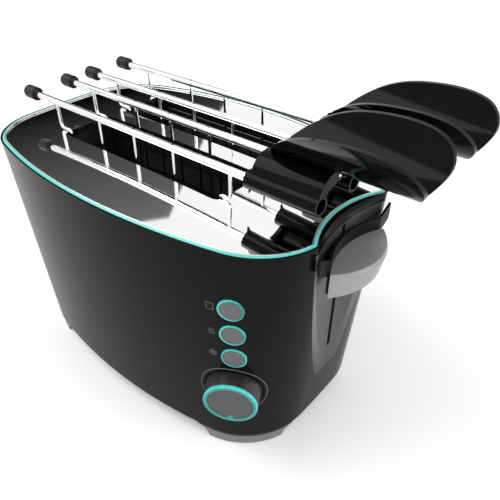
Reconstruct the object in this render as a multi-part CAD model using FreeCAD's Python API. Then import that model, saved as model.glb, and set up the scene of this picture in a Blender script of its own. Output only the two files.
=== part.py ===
"""Two-slice toaster with two lift-out sandwich tongs.

Millimetres, +Z up. The origin is on the plane of the feet, under the centre of the body.
+X points at the lever end, -Y at the side with the buttons and the knob.
Every function makes one real piece; the dictionary at the end names them all.
"""
import FreeCAD
import Part
import math
import os

V = FreeCAD.Vector
X_AXIS = V(1, 0, 0)
Y_AXIS = V(0, 1, 0)
Z_AXIS = V(0, 0, 1)

# Housing: half sizes and arc radii of its outline, near the feet and at the rim
FOOT_HEIGHT = 8.9
CROWN_HEIGHT = 169.3
LOW = {"z": 8.9, "length": 123.7, "width": 79.1, "side": 381.0, "end": 900.0, "corner": 51.8}
TOP = {"z": 167.0, "length": 133.0, "width": 85.2, "side": 370.0, "end": 900.0, "corner": 48.1}
CROWN_RADIUS = 3041.0
WALL = 2.5
HEM_HEIGHT = 3.5
HEM_INSET = 2.4
HEM_KNEE_HEIGHT = 1.05
HEM_KNEE_INSET = 0.95
LIP_HEIGHT = 1.5
LIP_WIDTH = 1.8
FIT_GAP = 0.15
SEAT_GAP = 0.3

# How far a cutting form runs past what it cuts
PAST = 1.0
CUT_REACH = 9.0
FAR = 200.0

# Rim: black lip, coloured ring and mirror plate on a ledge
LIP_BEVEL = 1.15
LIP_DROP = 0.35
RING_WIDTH = 3.0
RING_HEIGHT = 2.1
RING_GROOVE = 0.8
SEAT_DROP = 1.9
PLATE_THICKNESS = 0.9
LEDGE_THICKNESS = 2.5
LEDGE_WIDTH = 3.8

# Hollow of the lever end and its notch in the rim
SCOOP_RADIUS = 109.0
SCOOP_X = 125.8
SCOOP_DEPTH = 9.0
SCOOP_LOW = 46.0
NOTCH_RADIUS = 67.25
NOTCH_X = 122.75
NOTCH_BEVEL = 5.0
PANEL_DROP = 8.3
PANEL_TOP = CROWN_HEIGHT - PANEL_DROP
PANEL_THICKNESS = 2.5
BEZEL_WIDTH = 0.8
BEZEL_DEPTH = 0.6

# Bread slots
SLOT_X0 = -79.5
SLOT_X1 = 65.4
SLOT_WIDTH = 40.0
SLOT_CORNER = 5.5
SLOT_FRONT_Y = -15.8
SLOT_PITCH = 53.2
COLLAR_DEPTH = 5.0
COLLAR_WALL = 0.8

# Chassis and heating
CHASSIS_LEFT = -88.0
CHASSIS_RIGHT = 73.0
CHASSIS_SHEET = 1.0
CHASSIS_FRONT = -45.0
CHASSIS_BACK = 65.0
FLANGE_LENGTH = 31.0
FLANGE_HALF = 14.0
FLANGE_LOW = 22.0
FLANGE_DROP = 14.8
FLANGE_HIGH = CROWN_HEIGHT - FLANGE_DROP
FLANGE_SHEET = 1.2
GUARD_OFFSET = 1.9
GUARD_WIRE = 0.7
GUARD_LOW = 27.0
GUARD_DROP = 11.3
GUARD_HIGH = CROWN_HEIGHT - GUARD_DROP
GUARD_COUNT = 7
BOARD_OFFSET = 4.2
BOARD_THICKNESS = 0.6
BOARD_LOW = 30.0
BOARD_DROP = 13.3
BOARD_HIGH = CROWN_HEIGHT - BOARD_DROP
RIBBON_HEIGHT = 2.2
RIBBON_THICKNESS = 0.3
RIBBON_COUNT = 8
REFLECTOR_OFFSET = 7.1
REFLECTOR_SHEET = 0.5
REFLECTOR_OVERLAP = 3.0
REFLECTOR_FOLD = 1.9

# Carriage
TRAVEL_UP = 8.0
RACK_DROP = 83.3
RACK_TOP = CROWN_HEIGHT - RACK_DROP
RACK_LOWEST = 36.0
TRAVEL_DOWN = RACK_TOP - RACK_LOWEST
RACK_STRIP = 1.5
RACK_HEIGHT = 8.0
RACK_WIRE = 1.1
RACK_HALF = 13.0
RACK_COUNT = 7
RACK_MARGIN = 6.0
RACK_TAIL = 3.0
RACK_SPARE = 2.0
RACK_PLAY = 0.6
CROSSHEAD_GAP = 3.0
CROSSHEAD_SHEET = 2.0
CROSSHEAD_OVERHANG = 5.0
SLIDER_RISE = 4.0
SLIDER_TOP = RACK_TOP + SLIDER_RISE
SLIDER_HEIGHT = 16.0
SLIDER_HALF = 13.0
SLIDER_END = 104.0
GUIDE_X = 95.0
GUIDE_Y = 8.0
GUIDE_RADIUS = 2.5
RUNNING_GAP = 0.05
UPRIGHT_DEPTH = 4.0
UPRIGHT_HALF = 5.0
ARM_HALF = 1.2
ARM_DROP = 25.3
ARM_HEIGHT = 16.0
ARM_HIGH = CROWN_HEIGHT - ARM_DROP
ARM_LOW = ARM_HIGH - ARM_HEIGHT
SPRING_X = 84.0
SPRING_RADIUS = 3.2
SPRING_WALL = 0.8
EAR_HEIGHT = 6.0
ARMATURE_SIZE = 14.0
ARMATURE_Y = -29.0
ARMATURE_HEIGHT = 8.0
MAGNET_GAP = 0.3
CORE_PROUD = 3.0
CORE_INSET = 3.0

# Lever pad and its backing sheet
PAD_RISE = 3.0
PAD_HEIGHT = 16.0
PAD_HIGH = ARM_HIGH + PAD_RISE
PAD_LOW = PAD_HIGH - PAD_HEIGHT
PAD_HALF = 28.3
PAD_FRONT = 150.3
PAD_FRONT_LOW = 147.5
PAD_BEVEL = 2.5
PAD_BEVEL_INSET = 1.2
YOKE_RADIUS = 55.0
YOKE_X = 128.6
YOKE_SHEET = 1.5
YOKE_BEND = 26.0

# End view of the backing: distance from the middle and height over the pad's top
YOKE_OUTLINE = ((25.5, -16.0), (25.5, -3.5), (36.5, 2.5), (36.5, 13.0), (27.0, 8.0))

LEVER_SLOT_HALF = 1.8
LEVER_SLOT_SPARE_LOW = 12.0
LEVER_SLOT_SPARE_HIGH = 8.0
LEVER_SLOT_LOW = ARM_LOW - TRAVEL_DOWN - LEVER_SLOT_SPARE_LOW
LEVER_SLOT_HIGH = ARM_HIGH + TRAVEL_UP + LEVER_SLOT_SPARE_HIGH

# Buttons and knob, on the corner beside the lever
CONTROL_X = 102.4
BUTTON_HIGH = 130.5
BUTTON_PITCH = 19.3
BUTTON_RADIUS = 6.3
BUTTON_RING = 1.3
BUTTON_TRAVEL = 2.5
BUTTON_PROUD = 1.2
BUTTON_ROUNDING = 0.7
BUTTON_FLANGE = 1.2
BUTTON_BACK = 4.2
BUTTON_FLANGE_THICKNESS = 1.2
SWITCH_DEPTH = 10.5
BOARD_DEPTH = 12.0
BOARD_WIDTH = 27.0
BOARD_MARGIN = 12.0
CIRCUIT_THICKNESS = 1.6
BOSS_RADIUS = 2.2
BOSS_MARGIN = 0.7
SWITCH_HALF = 3.0
KNOB_X = 100.5
KNOB_Z = 60.0
RECESS_RADIUS = 20.4
RECESS_WALL = 1.6
RECESS_DEPTH = 6.0
RECESS_FLOOR = 1.8
KNOB_BASE_RADIUS = 18.2
KNOB_TOP_RADIUS = 17.2
KNOB_PROUD = 16.0
KNOB_FLOAT = 1.0
KNOB_RING_WIDTH = 2.4
KNOB_RING_HEIGHT = 2.0
KNOB_FACE_HEIGHT = 1.6
POINTER_LENGTH = 3.8
POINTER_HALF = 2.3
POINTER_ROOT = 0.6
SHAFT_RADIUS = 3.0
SHAFT_DEPTH = 14.0
POT_RADIUS = 9.0
POT_LENGTH = 9.0

# Base, feet, crumb tray and cord inlet
BASE_THICKNESS = 1.5
VENT_COUNT = 7
VENT_WIDTH = 3.0
VENT_LENGTH = 26.0
FOOT_INSET = 1.0
FOOT_WIDTH = 13.0
FOOT_FLARE = 8.8
FOOT_START_X = 72.0
FOOT_START_Y = 28.0
PAD_RADIUS = 4.5
PAD_PROUD = 0.8
PAD_SUNK = 1.2
PAD_X = 102.0
PAD_Y = 52.0
TRAY_X0 = -74.0
TRAY_X1 = 59.0
TRAY_FRONT = -58.0
TRAY_SHEET = 0.8
TRAY_EDGE = 5.0
GRIP_MARGIN = 2.0
GRIP_HEIGHT = 8.0
GRIP_LIP = 1.6
GRIP_LIP_HALF = 26.0
GRIP_LIP_REACH = 4.0
GRIP_DEPTH = 3.0
INLET_X = 84.0
INLET_Z = 32.0
INLET_BORE = 3.2
INLET_BARREL = 5.4
INLET_FLANGE = 7.5
INLET_FLANGE_THICKNESS = 2.0
INLET_BULGE = 0.9
INLET_DEPTH = 6.0
SCREW_X = 102.3
SCREW_Y = 49.8
SCREW_RADIUS = 1.4
SCREW_HEAD = 2.9
SCREW_HEAD_HEIGHT = 1.3
SCREW_LENGTH = 13.0
THREAD_GAP = 0.05
POST_RADIUS = 4.2
POST_HEIGHT = 16.0
POST_RIB = 2.0
POST_RIB_REACH = 9.5

# Sandwich tongs
RAIL_HALF = 15.5
RAIL_LIFT = 18.4
RAIL_RADIUS = 2.3
RAIL_LEFT = -114.0
RAIL_RIGHT = 113.0
WIRE_RADIUS = 1.1
WIRE_BEND = 2.6
END_LEFT = -87.0
END_RIGHT = 70.6
CAGE_MARGIN = 2.8
CAGE_LIFT = 12.0
CAGE_BOTTOM = RACK_TOP + CAGE_LIFT
INNER_WIRES = (-40.8, -7.2, 27.0)
PRONG_LENGTH = 8.0
TIP_RADIUS = 4.6
TIP_ROUNDING = 2.8
TIP_LEFT = -122.0
TIP_RIGHT = -110.0
BARREL_RADIUS = 5.4
BARREL_LEFT = 84.0
BARREL_RIGHT = 128.5
BARREL_MOUTH = 4.0
BARREL_STOP = 2.0
HINGE_LIFT = 29.7
HINGE_PIN = 1.5
KNUCKLE_RADIUS = 3.6
KNUCKLE_GAP = 0.4
KNUCKLE_COUNT = 5
HANDLE_LEFT = 87.0
HANDLE_SHEET = 2.6
NIB_LENGTH = 3.4
NIB_DROP = 3.2
PEG_RADIUS = 0.8
PEG_LENGTH = 2.0
PEG_X = 171.0
PEG_SPOT = (8.4, 5.6)

# Handle sections: distance out from the tong's middle and height over the hinge pin
LEAF_SECTION = ((1.6, 2.2), (14.4, 13.2), (22.0, 27.5))
ARM_SECTION = ((3.4, 1.5), (13.9, -1.9), (17.3, -10.2))
ARM_UNDERSIDE = ((3.0, -3.6), (9.0, -5.2), (14.0, -8.6))

# Side view of a leaf: distance along the toaster and height over the hinge pin
LEAF_OUTLINE = ((87.0, -1.0), (100.0, 13.0), (115.0, 21.4), (139.0, 26.0), (159.0, 25.5),
                (171.0, 20.6), (175.6, 12.0), (172.6, 4.6), (167.5, -1.0))


# Small drawing helpers

def box(x0, x1, y0, y1, z0, z1):
    return Part.makeBox(x1 - x0, y1 - y0, z1 - z0, V(x0, y0, z0))


def rod(radius, start, end):
    run = end.sub(start)
    return Part.makeCylinder(radius, run.Length, start, run)


def prism(points, direction):
    """A closed polygon of points pushed along a direction."""
    wire = Part.makePolygon(list(points) + [points[0]])
    return Part.Face(wire).extrude(direction)


def fuse(shapes):
    shapes = list(shapes)
    return shapes[0].multiFuse(shapes[1:]).removeSplitter() if len(shapes) > 1 else shapes[0]


def solid_of(shape):
    """The single largest solid of a boolean's result."""
    return max(shape.Solids, key=lambda s: s.Volume)


def bent_wire(points, radius, bend):
    """One round wire along straight runs joined by tangent arcs."""
    edges = []
    start = points[0]
    for before, corner, after in zip(points, points[1:], points[2:]):
        back = before.sub(corner).normalize()
        ahead = after.sub(corner).normalize()
        half = back.getAngle(ahead) / 2
        reach = bend / math.tan(half)
        middle = back.add(ahead).normalize()
        centre = corner.add(middle * (bend / math.sin(half)))
        first = corner.add(back * reach)
        last = corner.add(ahead * reach)
        edges.append(Part.makeLine(start, first))
        edges.append(Part.Arc(first, centre.sub(middle * bend), last).toShape())
        start = last
    edges.append(Part.makeLine(start, points[-1]))
    path = Part.Wire(edges)
    profile = Part.Wire([Part.makeCircle(radius, points[0], points[1].sub(points[0]))])
    return path.makePipeShell([profile], True, False)


# Housing outline

def outline_sizes(z):
    """The outline's half sizes and arc radii at height z, on the straight taper."""
    share = (z - LOW["z"]) / (TOP["z"] - LOW["z"])
    return {key: LOW[key] + share * (TOP[key] - LOW[key]) for key in LOW}


def corner_centre(size):
    """Centre of the corner arc that touches both the end arc and the side arc."""
    side = V(0, size["width"] - size["side"], 0)
    end = V(size["length"] - size["end"], 0, 0)
    side_reach = size["side"] - size["corner"]
    end_reach = size["end"] - size["corner"]
    apart = end.sub(side)
    along = (side_reach ** 2 - end_reach ** 2 + apart.Length ** 2) / (2 * apart.Length)
    off = math.sqrt(side_reach ** 2 - along ** 2)
    unit = V(apart).normalize()
    return side.add(unit * along).add(V(unit.y, -unit.x, 0) * off)


def outline(z, inset):
    """Closed outline at height z, drawn in by inset: 4 corner arcs, 2 sides and 2 ends."""
    size = outline_sizes(z)
    centre = corner_centre(size)
    side = V(0, size["width"] - size["side"], 0)
    end = V(size["length"] - size["end"], 0, 0)
    radius = size["corner"] - inset
    to_end = centre.sub(end).normalize()
    to_side = centre.sub(side).normalize()
    on_end = centre.add(to_end * radius)
    on_side = centre.add(to_side * radius)
    middle = centre.add(to_end.add(to_side).normalize() * radius)
    half_length = size["length"] - inset
    half_width = size["width"] - inset

    def at(point, sx, sy):
        return V(point.x * sx, point.y * sy, z)

    def arc(a, b, c):
        return Part.Arc(a, b, c).toShape()

    edges = []
    tip_x = V(half_length, 0, 0)
    tip_y = V(0, half_width, 0)
    edges.append(arc(at(on_end, 1, -1), at(tip_x, 1, 1), at(on_end, 1, 1)))
    edges.append(arc(at(on_end, 1, 1), at(middle, 1, 1), at(on_side, 1, 1)))
    edges.append(arc(at(on_side, 1, 1), at(tip_y, 1, 1), at(on_side, -1, 1)))
    edges.append(arc(at(on_side, -1, 1), at(middle, -1, 1), at(on_end, -1, 1)))
    edges.append(arc(at(on_end, -1, 1), at(tip_x, -1, 1), at(on_end, -1, -1)))
    edges.append(arc(at(on_end, -1, -1), at(middle, -1, -1), at(on_side, -1, -1)))
    edges.append(arc(at(on_side, -1, -1), at(tip_y, 1, -1), at(on_side, 1, -1)))
    edges.append(arc(at(on_side, 1, -1), at(middle, 1, -1), at(on_end, 1, -1)))
    return Part.Wire(edges)


def body_solid(inset, z0, z1):
    """The housing's outer form drawn in by inset, between two heights."""
    return Part.makeLoft([outline(z0, inset), outline(z1, inset)], True, True)


def below_crown(shape, drop):
    """What lies under the crowned surface lowered by drop."""
    centre = V(0, -2 * TOP["width"], CROWN_HEIGHT - drop - CROWN_RADIUS)
    return shape.common(Part.makeCylinder(CROWN_RADIUS, 4 * TOP["width"], centre, Y_AXIS))


def crown_z(x, drop):
    return CROWN_HEIGHT - drop - CROWN_RADIUS + math.sqrt(CROWN_RADIUS ** 2 - x ** 2)


def arc_region(radius, nose_x, z, half):
    """Flat region on the +X side of a concave arc whose nose is at nose_x."""
    centre_x = nose_x + radius
    edge_x = centre_x - math.sqrt(radius ** 2 - half ** 2)
    low = V(edge_x, -half, z)
    high = V(edge_x, half, z)
    curve = Part.Arc(low, V(nose_x, 0, z), high).toShape()
    lines = [Part.makeLine(high, V(centre_x, half, z)),
             Part.makeLine(V(centre_x, half, z), V(centre_x, -half, z)),
             Part.makeLine(V(centre_x, -half, z), low)]
    return Part.Wire([curve] + lines)


def scoop(offset, z0, z1):
    """The hollow at the lever end, grown by offset towards the body."""
    wire = arc_region(SCOOP_RADIUS + offset, SCOOP_X - offset, z0, TOP["corner"])
    return Part.Face(wire).extrude(V(0, 0, z1 - z0))


def notch(inset, z0, z1):
    """The notch in the rim, grown by inset towards the body."""
    wire = arc_region(NOTCH_RADIUS + inset, NOTCH_X - inset, z0, TOP["corner"])
    return Part.Face(wire).extrude(V(0, 0, z1 - z0))


def notch_bevel():
    """The black bevel that joins the rim's notch to the hollow below it."""
    foot = arc_region(SCOOP_RADIUS, SCOOP_X, CROWN_HEIGHT - NOTCH_BEVEL, TOP["corner"])
    head = arc_region(NOTCH_RADIUS, NOTCH_X, CROWN_HEIGHT, TOP["corner"])
    return Part.makeLoft([foot, head], True, True)


def rim_form(inset, z0, z1):
    """The rim's outline drawn in by inset, with its notch."""
    return body_solid(inset, z0, z1).cut(notch(inset, z0 - PAST, z1 + PAST))


BASE_LOW = LOW["z"] + LIP_HEIGHT
BASE_TOP = BASE_LOW + BASE_THICKNESS
RING_INNER = LIP_BEVEL + RING_WIDTH
LEDGE_INNER = RING_INNER + LEDGE_WIDTH
LEDGE_BOTTOM = SEAT_DROP + LEDGE_THICKNESS
SKY = CROWN_HEIGHT + 6 * PAST
SEAT_LOW = CROWN_HEIGHT - LEDGE_BOTTOM - 8 * PAST


class Place:
    """A spot on the housing's wall, with its outward direction."""

    def __init__(self, x, z, back=False):
        flip = 1 if back else -1
        self.origin = V(x, flip * wall_y(x, z), z)
        step = 0.5
        along = V(2 * step, flip * (wall_y(x + step, z) - wall_y(x - step, z)), 0)
        up = V(0, flip * (wall_y(x, z + step) - wall_y(x, z - step)), 2 * step)
        self.out = along.cross(up).normalize() * (-1 if back else 1)
        self.side = Z_AXIS.cross(self.out).normalize()
        self.up = self.out.cross(self.side)

    def at(self, height, side=0.0, up=0.0):
        return self.origin.add(self.out * height).add(self.side * side).add(self.up * up)

    def rod(self, radius, low, high, side=0.0, up=0.0):
        return rod(radius, self.at(low, side, up), self.at(high, side, up))

    def ring(self, outer, inner, low, high):
        return self.rod(outer, low, high).cut(self.rod(inner, low - PAST, high + PAST))

    def plate(self, half_side, up_low, up_high, low, high):
        corners = [self.at(low, -half_side, up_low), self.at(low, half_side, up_low),
                   self.at(low, half_side, up_high), self.at(low, -half_side, up_high)]
        return prism(corners, self.out * (high - low))


def wall_y(x, z):
    """Half width of the outer form at x and z."""
    size = outline_sizes(z)
    centre = corner_centre(size)
    side = V(0, size["width"] - size["side"], 0)
    on_side = centre.add(centre.sub(side).normalize() * size["corner"])
    if abs(x) <= on_side.x:
        return side.y + math.sqrt(size["side"] ** 2 - x ** 2)
    return centre.y + math.sqrt(size["corner"] ** 2 - (abs(x) - centre.x) ** 2)


BUTTON_HEIGHTS = [BUTTON_HIGH - i * BUTTON_PITCH for i in range(3)]
BUTTONS = [Place(CONTROL_X, z) for z in BUTTON_HEIGHTS]
BOARD_PLACE = BUTTONS[1]
KNOB = Place(KNOB_X, KNOB_Z)
INLET = Place(INLET_X, INLET_Z, back=True)
SLOT_CENTRES = [SLOT_FRONT_Y, SLOT_FRONT_Y + SLOT_PITCH]
TRAY_FLOOR = BASE_TOP + SEAT_GAP
GRIP_LOW = TRAY_FLOOR - SEAT_GAP / 2
GRIP_TOP = GRIP_LOW + GRIP_HEIGHT


def grip_box(gap):
    """The crumb tray's doorway in the rear wall, or its grip with a gap all round."""
    return box(TRAY_X0 - GRIP_MARGIN + gap, TRAY_X1 + GRIP_MARGIN - gap, 0, TOP["width"] + CUT_REACH,
               GRIP_LOW - SEAT_GAP + gap, GRIP_TOP + SEAT_GAP - gap)


def board_bosses(radius, low, high):
    reach = BUTTON_PITCH + BOARD_MARGIN - BOSS_RADIUS - BOSS_MARGIN
    half = BOARD_WIDTH / 2 - BOSS_RADIUS - BOSS_MARGIN
    return [BOARD_PLACE.rod(radius, low, high, s * half, u * reach) for s in (-1, 1) for u in (-1, 1)]


def screw_spots():
    return [(sx * SCREW_X, sy * SCREW_Y) for sx in (-1, 1) for sy in (-1, 1)]


def screw_post(x, y):
    """A round post for a screw, with a rib to the housing's wall."""
    tip = x + math.copysign(POST_RIB_REACH, x)
    rib = box(min(x, tip), max(x, tip), y - POST_RIB / 2, y + POST_RIB / 2, BASE_TOP, BASE_TOP + POST_HEIGHT)
    return rod(POST_RADIUS, V(x, y, BASE_TOP), V(x, y, BASE_TOP + POST_HEIGHT)).fuse(rib)


def outer_shell():
    hem = Part.makeLoft([outline(LOW["z"], HEM_INSET), outline(LOW["z"] + HEM_KNEE_HEIGHT, HEM_KNEE_INSET),
                         outline(LOW["z"] + HEM_HEIGHT, 0)], True, True)
    shell = hem.fuse(body_solid(0, LOW["z"] + HEM_HEIGHT, SKY))
    shell = below_crown(shell, LIP_DROP)
    shell = shell.cut(scoop(0, PANEL_TOP - PAST, CROWN_HEIGHT - NOTCH_BEVEL)).cut(notch_bevel())
    shell = shell.cut(lever_room())
    cavity = below_crown(body_solid(WALL, BASE_LOW, SKY), LEDGE_BOTTOM)
    cavity = cavity.cut(scoop(WALL, PANEL_TOP - PAST, SKY))
    shell = shell.cut(cavity)
    shell = shell.cut(body_solid(WALL + LIP_WIDTH, 0, BASE_LOW + PAST))
    shell = shell.cut(rim_form(LEDGE_INNER, SEAT_LOW, SKY))
    seat = rim_form(LIP_BEVEL, SEAT_LOW, SKY)
    shell = shell.cut(seat.cut(below_crown(seat, SEAT_DROP)))
    posts = [screw_post(x, y) for x, y in screw_spots()]
    posts = [p.common(body_solid(WALL / 2, LOW["z"], CROWN_HEIGHT)) for p in posts]
    bosses = board_bosses(BOSS_RADIUS, -BOARD_DEPTH, -WALL / 2)
    bosses = [b.common(body_solid(WALL / 2, LOW["z"], CROWN_HEIGHT)) for b in bosses]
    shell = shell.multiFuse(posts + bosses)
    pilots = [rod(SCREW_RADIUS, V(x, y, 0), V(x, y, BASE_LOW + SCREW_LENGTH)) for x, y in screw_spots()]
    holes = [p.rod(BUTTON_RADIUS + FIT_GAP, -BUTTON_BACK, CUT_REACH) for p in BUTTONS]
    holes += [p.rod(BUTTON_RADIUS + BUTTON_RING + FIT_GAP, -BUTTON_PROUD, CUT_REACH) for p in BUTTONS]
    holes.append(KNOB.rod(RECESS_RADIUS, -WALL - CUT_REACH, CUT_REACH))
    holes.append(INLET.rod(INLET_BARREL, -WALL - CUT_REACH, CUT_REACH))
    holes.append(grip_box(0))
    for hole in pilots + holes:
        shell = shell.cut(hole)
    return solid_of(shell)


def lever_room():
    """What the lever's panel and bezel take out of the housing."""
    room = scoop(PANEL_THICKNESS, SCOOP_LOW, PANEL_TOP)
    room = room.common(body_solid(BEZEL_WIDTH, LOW["z"], CROWN_HEIGHT))
    return room.fuse(scoop(BEZEL_DEPTH, SCOOP_LOW, PANEL_TOP))


def lever_sheet(depth):
    """A sheet of some depth behind the surface of the hollow."""
    sheet = scoop(depth, SCOOP_LOW, PANEL_TOP - FIT_GAP)
    return sheet.cut(scoop(0, SCOOP_LOW - PAST, PANEL_TOP + PAST))


def lever_slot():
    """The upright slot in which the lever's arm runs."""
    return box(SCOOP_X - SCOOP_DEPTH, SCOOP_X + SCOOP_DEPTH, -LEVER_SLOT_HALF, LEVER_SLOT_HALF,
               LEVER_SLOT_LOW, LEVER_SLOT_HIGH)


def lever_bezel():
    sheet = lever_sheet(BEZEL_DEPTH).common(body_solid(0, LOW["z"], CROWN_HEIGHT))
    sheet = sheet.cut(body_solid(BEZEL_WIDTH, LOW["z"], CROWN_HEIGHT))
    return solid_of(sheet.cut(lever_slot()))


def lever_panel():
    sheet = lever_sheet(PANEL_THICKNESS).common(body_solid(BEZEL_WIDTH, LOW["z"], CROWN_HEIGHT))
    return solid_of(sheet.cut(lever_slot()))


def rim_ring():
    ring = rim_form(LIP_BEVEL, SEAT_LOW, SKY).cut(rim_form(RING_INNER, SEAT_LOW - PAST, SKY + PAST))
    ring = below_crown(ring, SEAT_DROP - RING_HEIGHT)
    ring = ring.cut(below_crown(ring, SEAT_DROP))
    middle = LIP_BEVEL + RING_WIDTH / 2
    groove = rim_form(middle - RING_GROOVE / 2, SEAT_LOW, SKY)
    groove = groove.cut(rim_form(middle + RING_GROOVE / 2, SEAT_LOW - PAST, SKY + PAST))
    groove = groove.cut(below_crown(groove, SEAT_DROP - RING_HEIGHT + RING_GROOVE))
    return solid_of(ring.cut(groove))


def rounded_block(x0, x1, y0, y1, z0, z1, corner):
    block = box(x0, x1, y0, y1, z0, z1)
    upright = [e for e in block.Edges if abs(e.Vertexes[0].Z - e.Vertexes[1].Z) > 1]
    return block.makeFillet(corner, upright)


def slot_block(y, grow, z0, z1):
    half = SLOT_WIDTH / 2 + grow
    return rounded_block(SLOT_X0 - grow, SLOT_X1 + grow, y - half, y + half, z0, z1, SLOT_CORNER + grow)


def top_plate():
    plate = rim_form(RING_INNER + FIT_GAP, SEAT_LOW, SKY)
    plate = below_crown(plate, SEAT_DROP - PLATE_THICKNESS)
    plate = plate.cut(below_crown(plate, SEAT_DROP))
    for y in SLOT_CENTRES:
        collar = slot_block(y, COLLAR_WALL, CROWN_HEIGHT - COLLAR_DEPTH - SEAT_DROP, CROWN_HEIGHT)
        plate = plate.fuse(below_crown(collar, SEAT_DROP - PLATE_THICKNESS))
    for y in SLOT_CENTRES:
        plate = plate.cut(slot_block(y, 0, CROWN_HEIGHT - 2 * COLLAR_DEPTH, SKY))
    return solid_of(plate)


def base_plate():
    plate = body_solid(WALL + FIT_GAP, BASE_LOW, BASE_TOP)
    start = TRAY_X0 + VENT_LENGTH / 2
    step = (TRAY_X1 - TRAY_X0 - VENT_LENGTH) / (VENT_COUNT - 1)
    for y in SLOT_CENTRES:
        for i in range(VENT_COUNT):
            x = start + i * step
            plate = plate.cut(box(x - VENT_WIDTH / 2, x + VENT_WIDTH / 2, y - VENT_LENGTH / 2,
                                  y + VENT_LENGTH / 2, 0, BASE_TOP + 1))
    for x, y in screw_spots():
        plate = plate.cut(rod(SCREW_RADIUS + FIT_GAP, V(x, y, 0), V(x, y, BASE_TOP + 1)))
    return solid_of(plate)


def corner_foot(sx, sy):
    """A hollow skirt round one corner, its two ends swept up in a concave curve."""
    top = FOOT_HEIGHT + PAST
    skirt = body_solid(FOOT_INSET, PAD_PROUD, FOOT_HEIGHT).cut(body_solid(FOOT_INSET + FOOT_WIDTH, 0, top))
    skirt = skirt.common(box(FOOT_START_X, FAR, FOOT_START_Y, FAR, 0, top))
    skirt = skirt.cut(rod(FOOT_FLARE, V(FOOT_START_X, 0, 0), V(FOOT_START_X, FAR, 0)))
    skirt = skirt.cut(rod(FOOT_FLARE, V(0, FOOT_START_Y, 0), V(FAR, FOOT_START_Y, 0)))
    foot = solid_of(skirt)
    foot = foot.cut(rod(PAD_RADIUS, V(PAD_X, PAD_Y, 0), V(PAD_X, PAD_Y, PAD_PROUD + PAD_SUNK)))
    if sx < 0:
        foot = foot.mirror(V(0, 0, 0), X_AXIS)
    if sy < 0:
        foot = foot.mirror(V(0, 0, 0), Y_AXIS)
    return foot


def foot_pads():
    return [rod(PAD_RADIUS, V(sx * PAD_X, sy * PAD_Y, 0), V(sx * PAD_X, sy * PAD_Y, PAD_PROUD + PAD_SUNK))
            for sx in (-1, 1) for sy in (-1, 1)]


def screws():
    made = []
    for x, y in screw_spots():
        head = rod(SCREW_HEAD, V(x, y, BASE_LOW - SCREW_HEAD_HEIGHT), V(x, y, BASE_LOW))
        shank = rod(SCREW_RADIUS - THREAD_GAP, V(x, y, BASE_LOW), V(x, y, BASE_LOW + SCREW_LENGTH - PAST))
        made.append(head.fuse(shank))
    return made


def tray_back():
    """Where the tray meets its grip, just inside the rear wall."""
    return wall_y(TRAY_X0, GRIP_TOP) - WALL - GRIP_DEPTH


def crumb_tray():
    back = tray_back()
    tray = box(TRAY_X0, TRAY_X1, TRAY_FRONT, back, TRAY_FLOOR, TRAY_FLOOR + TRAY_EDGE)
    return tray.cut(box(TRAY_X0 + TRAY_SHEET, TRAY_X1 - TRAY_SHEET, TRAY_FRONT + TRAY_SHEET, back + 1,
                        TRAY_FLOOR + TRAY_SHEET, TRAY_FLOOR + TRAY_EDGE + 1))


def crumb_tray_grip():
    wall = body_solid(0, LOW["z"], CROWN_HEIGHT).common(grip_box(SEAT_GAP))
    wall = wall.cut(box(-FAR, FAR, -FAR, tray_back(), 0, FAR))
    face = wall_y(0, GRIP_TOP)
    lip = box(-GRIP_LIP_HALF, GRIP_LIP_HALF, face - WALL / 2, face + GRIP_LIP_REACH,
              GRIP_TOP - GRIP_LIP, GRIP_TOP)
    return solid_of(wall.fuse(lip))


def cord_bushing():
    """A rubber bushing whose two flanges hold the curved wall between them."""
    outer = INLET.rod(INLET_FLANGE, INLET_BULGE, INLET_BULGE + INLET_FLANGE_THICKNESS)
    inner = INLET.rod(INLET_FLANGE, -INLET_DEPTH, -WALL - INLET_BULGE)
    body = INLET.rod(INLET_BARREL, -INLET_DEPTH, INLET_BULGE).fuse(outer).fuse(inner)
    return solid_of(body.cut(INLET.rod(INLET_BORE, -INLET_DEPTH - PAST, CUT_REACH)))


# Controls

def knob_recess():
    cup = KNOB.rod(RECESS_RADIUS - THREAD_GAP, -RECESS_DEPTH - RECESS_FLOOR, CUT_REACH)
    cup = cup.common(body_solid(0, LOW["z"], CROWN_HEIGHT))
    cup = cup.cut(KNOB.rod(RECESS_RADIUS - RECESS_WALL, -RECESS_DEPTH, CUT_REACH))
    return solid_of(cup.cut(KNOB.rod(SHAFT_RADIUS + RUNNING_GAP, -SHAFT_DEPTH, CUT_REACH)))


def knob_pointer(low, high, gap):
    tip = KNOB_TOP_RADIUS - KNOB_RING_WIDTH - POINTER_LENGTH - gap
    foot = KNOB_TOP_RADIUS - KNOB_RING_WIDTH + POINTER_ROOT
    half = POINTER_HALF + gap
    corners = [KNOB.at(low, -half, -foot), KNOB.at(low, half, -foot), KNOB.at(low, 0, -tip)]
    return prism(corners, KNOB.out * (high - low))


def knob_body():
    foot = KNOB_FLOAT - RECESS_DEPTH
    skirt = Part.makeCone(KNOB_BASE_RADIUS, KNOB_TOP_RADIUS, KNOB_PROUD - KNOB_RING_HEIGHT - foot,
                          KNOB.at(foot), KNOB.out)
    hollow = KNOB.rod(KNOB_TOP_RADIUS - RECESS_WALL, -RECESS_DEPTH, KNOB_PROUD - 2 * KNOB_RING_HEIGHT)
    stem = KNOB.rod(SHAFT_RADIUS, -SHAFT_DEPTH, KNOB_PROUD - KNOB_RING_HEIGHT)
    return solid_of(skirt.cut(hollow).fuse(stem))


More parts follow.
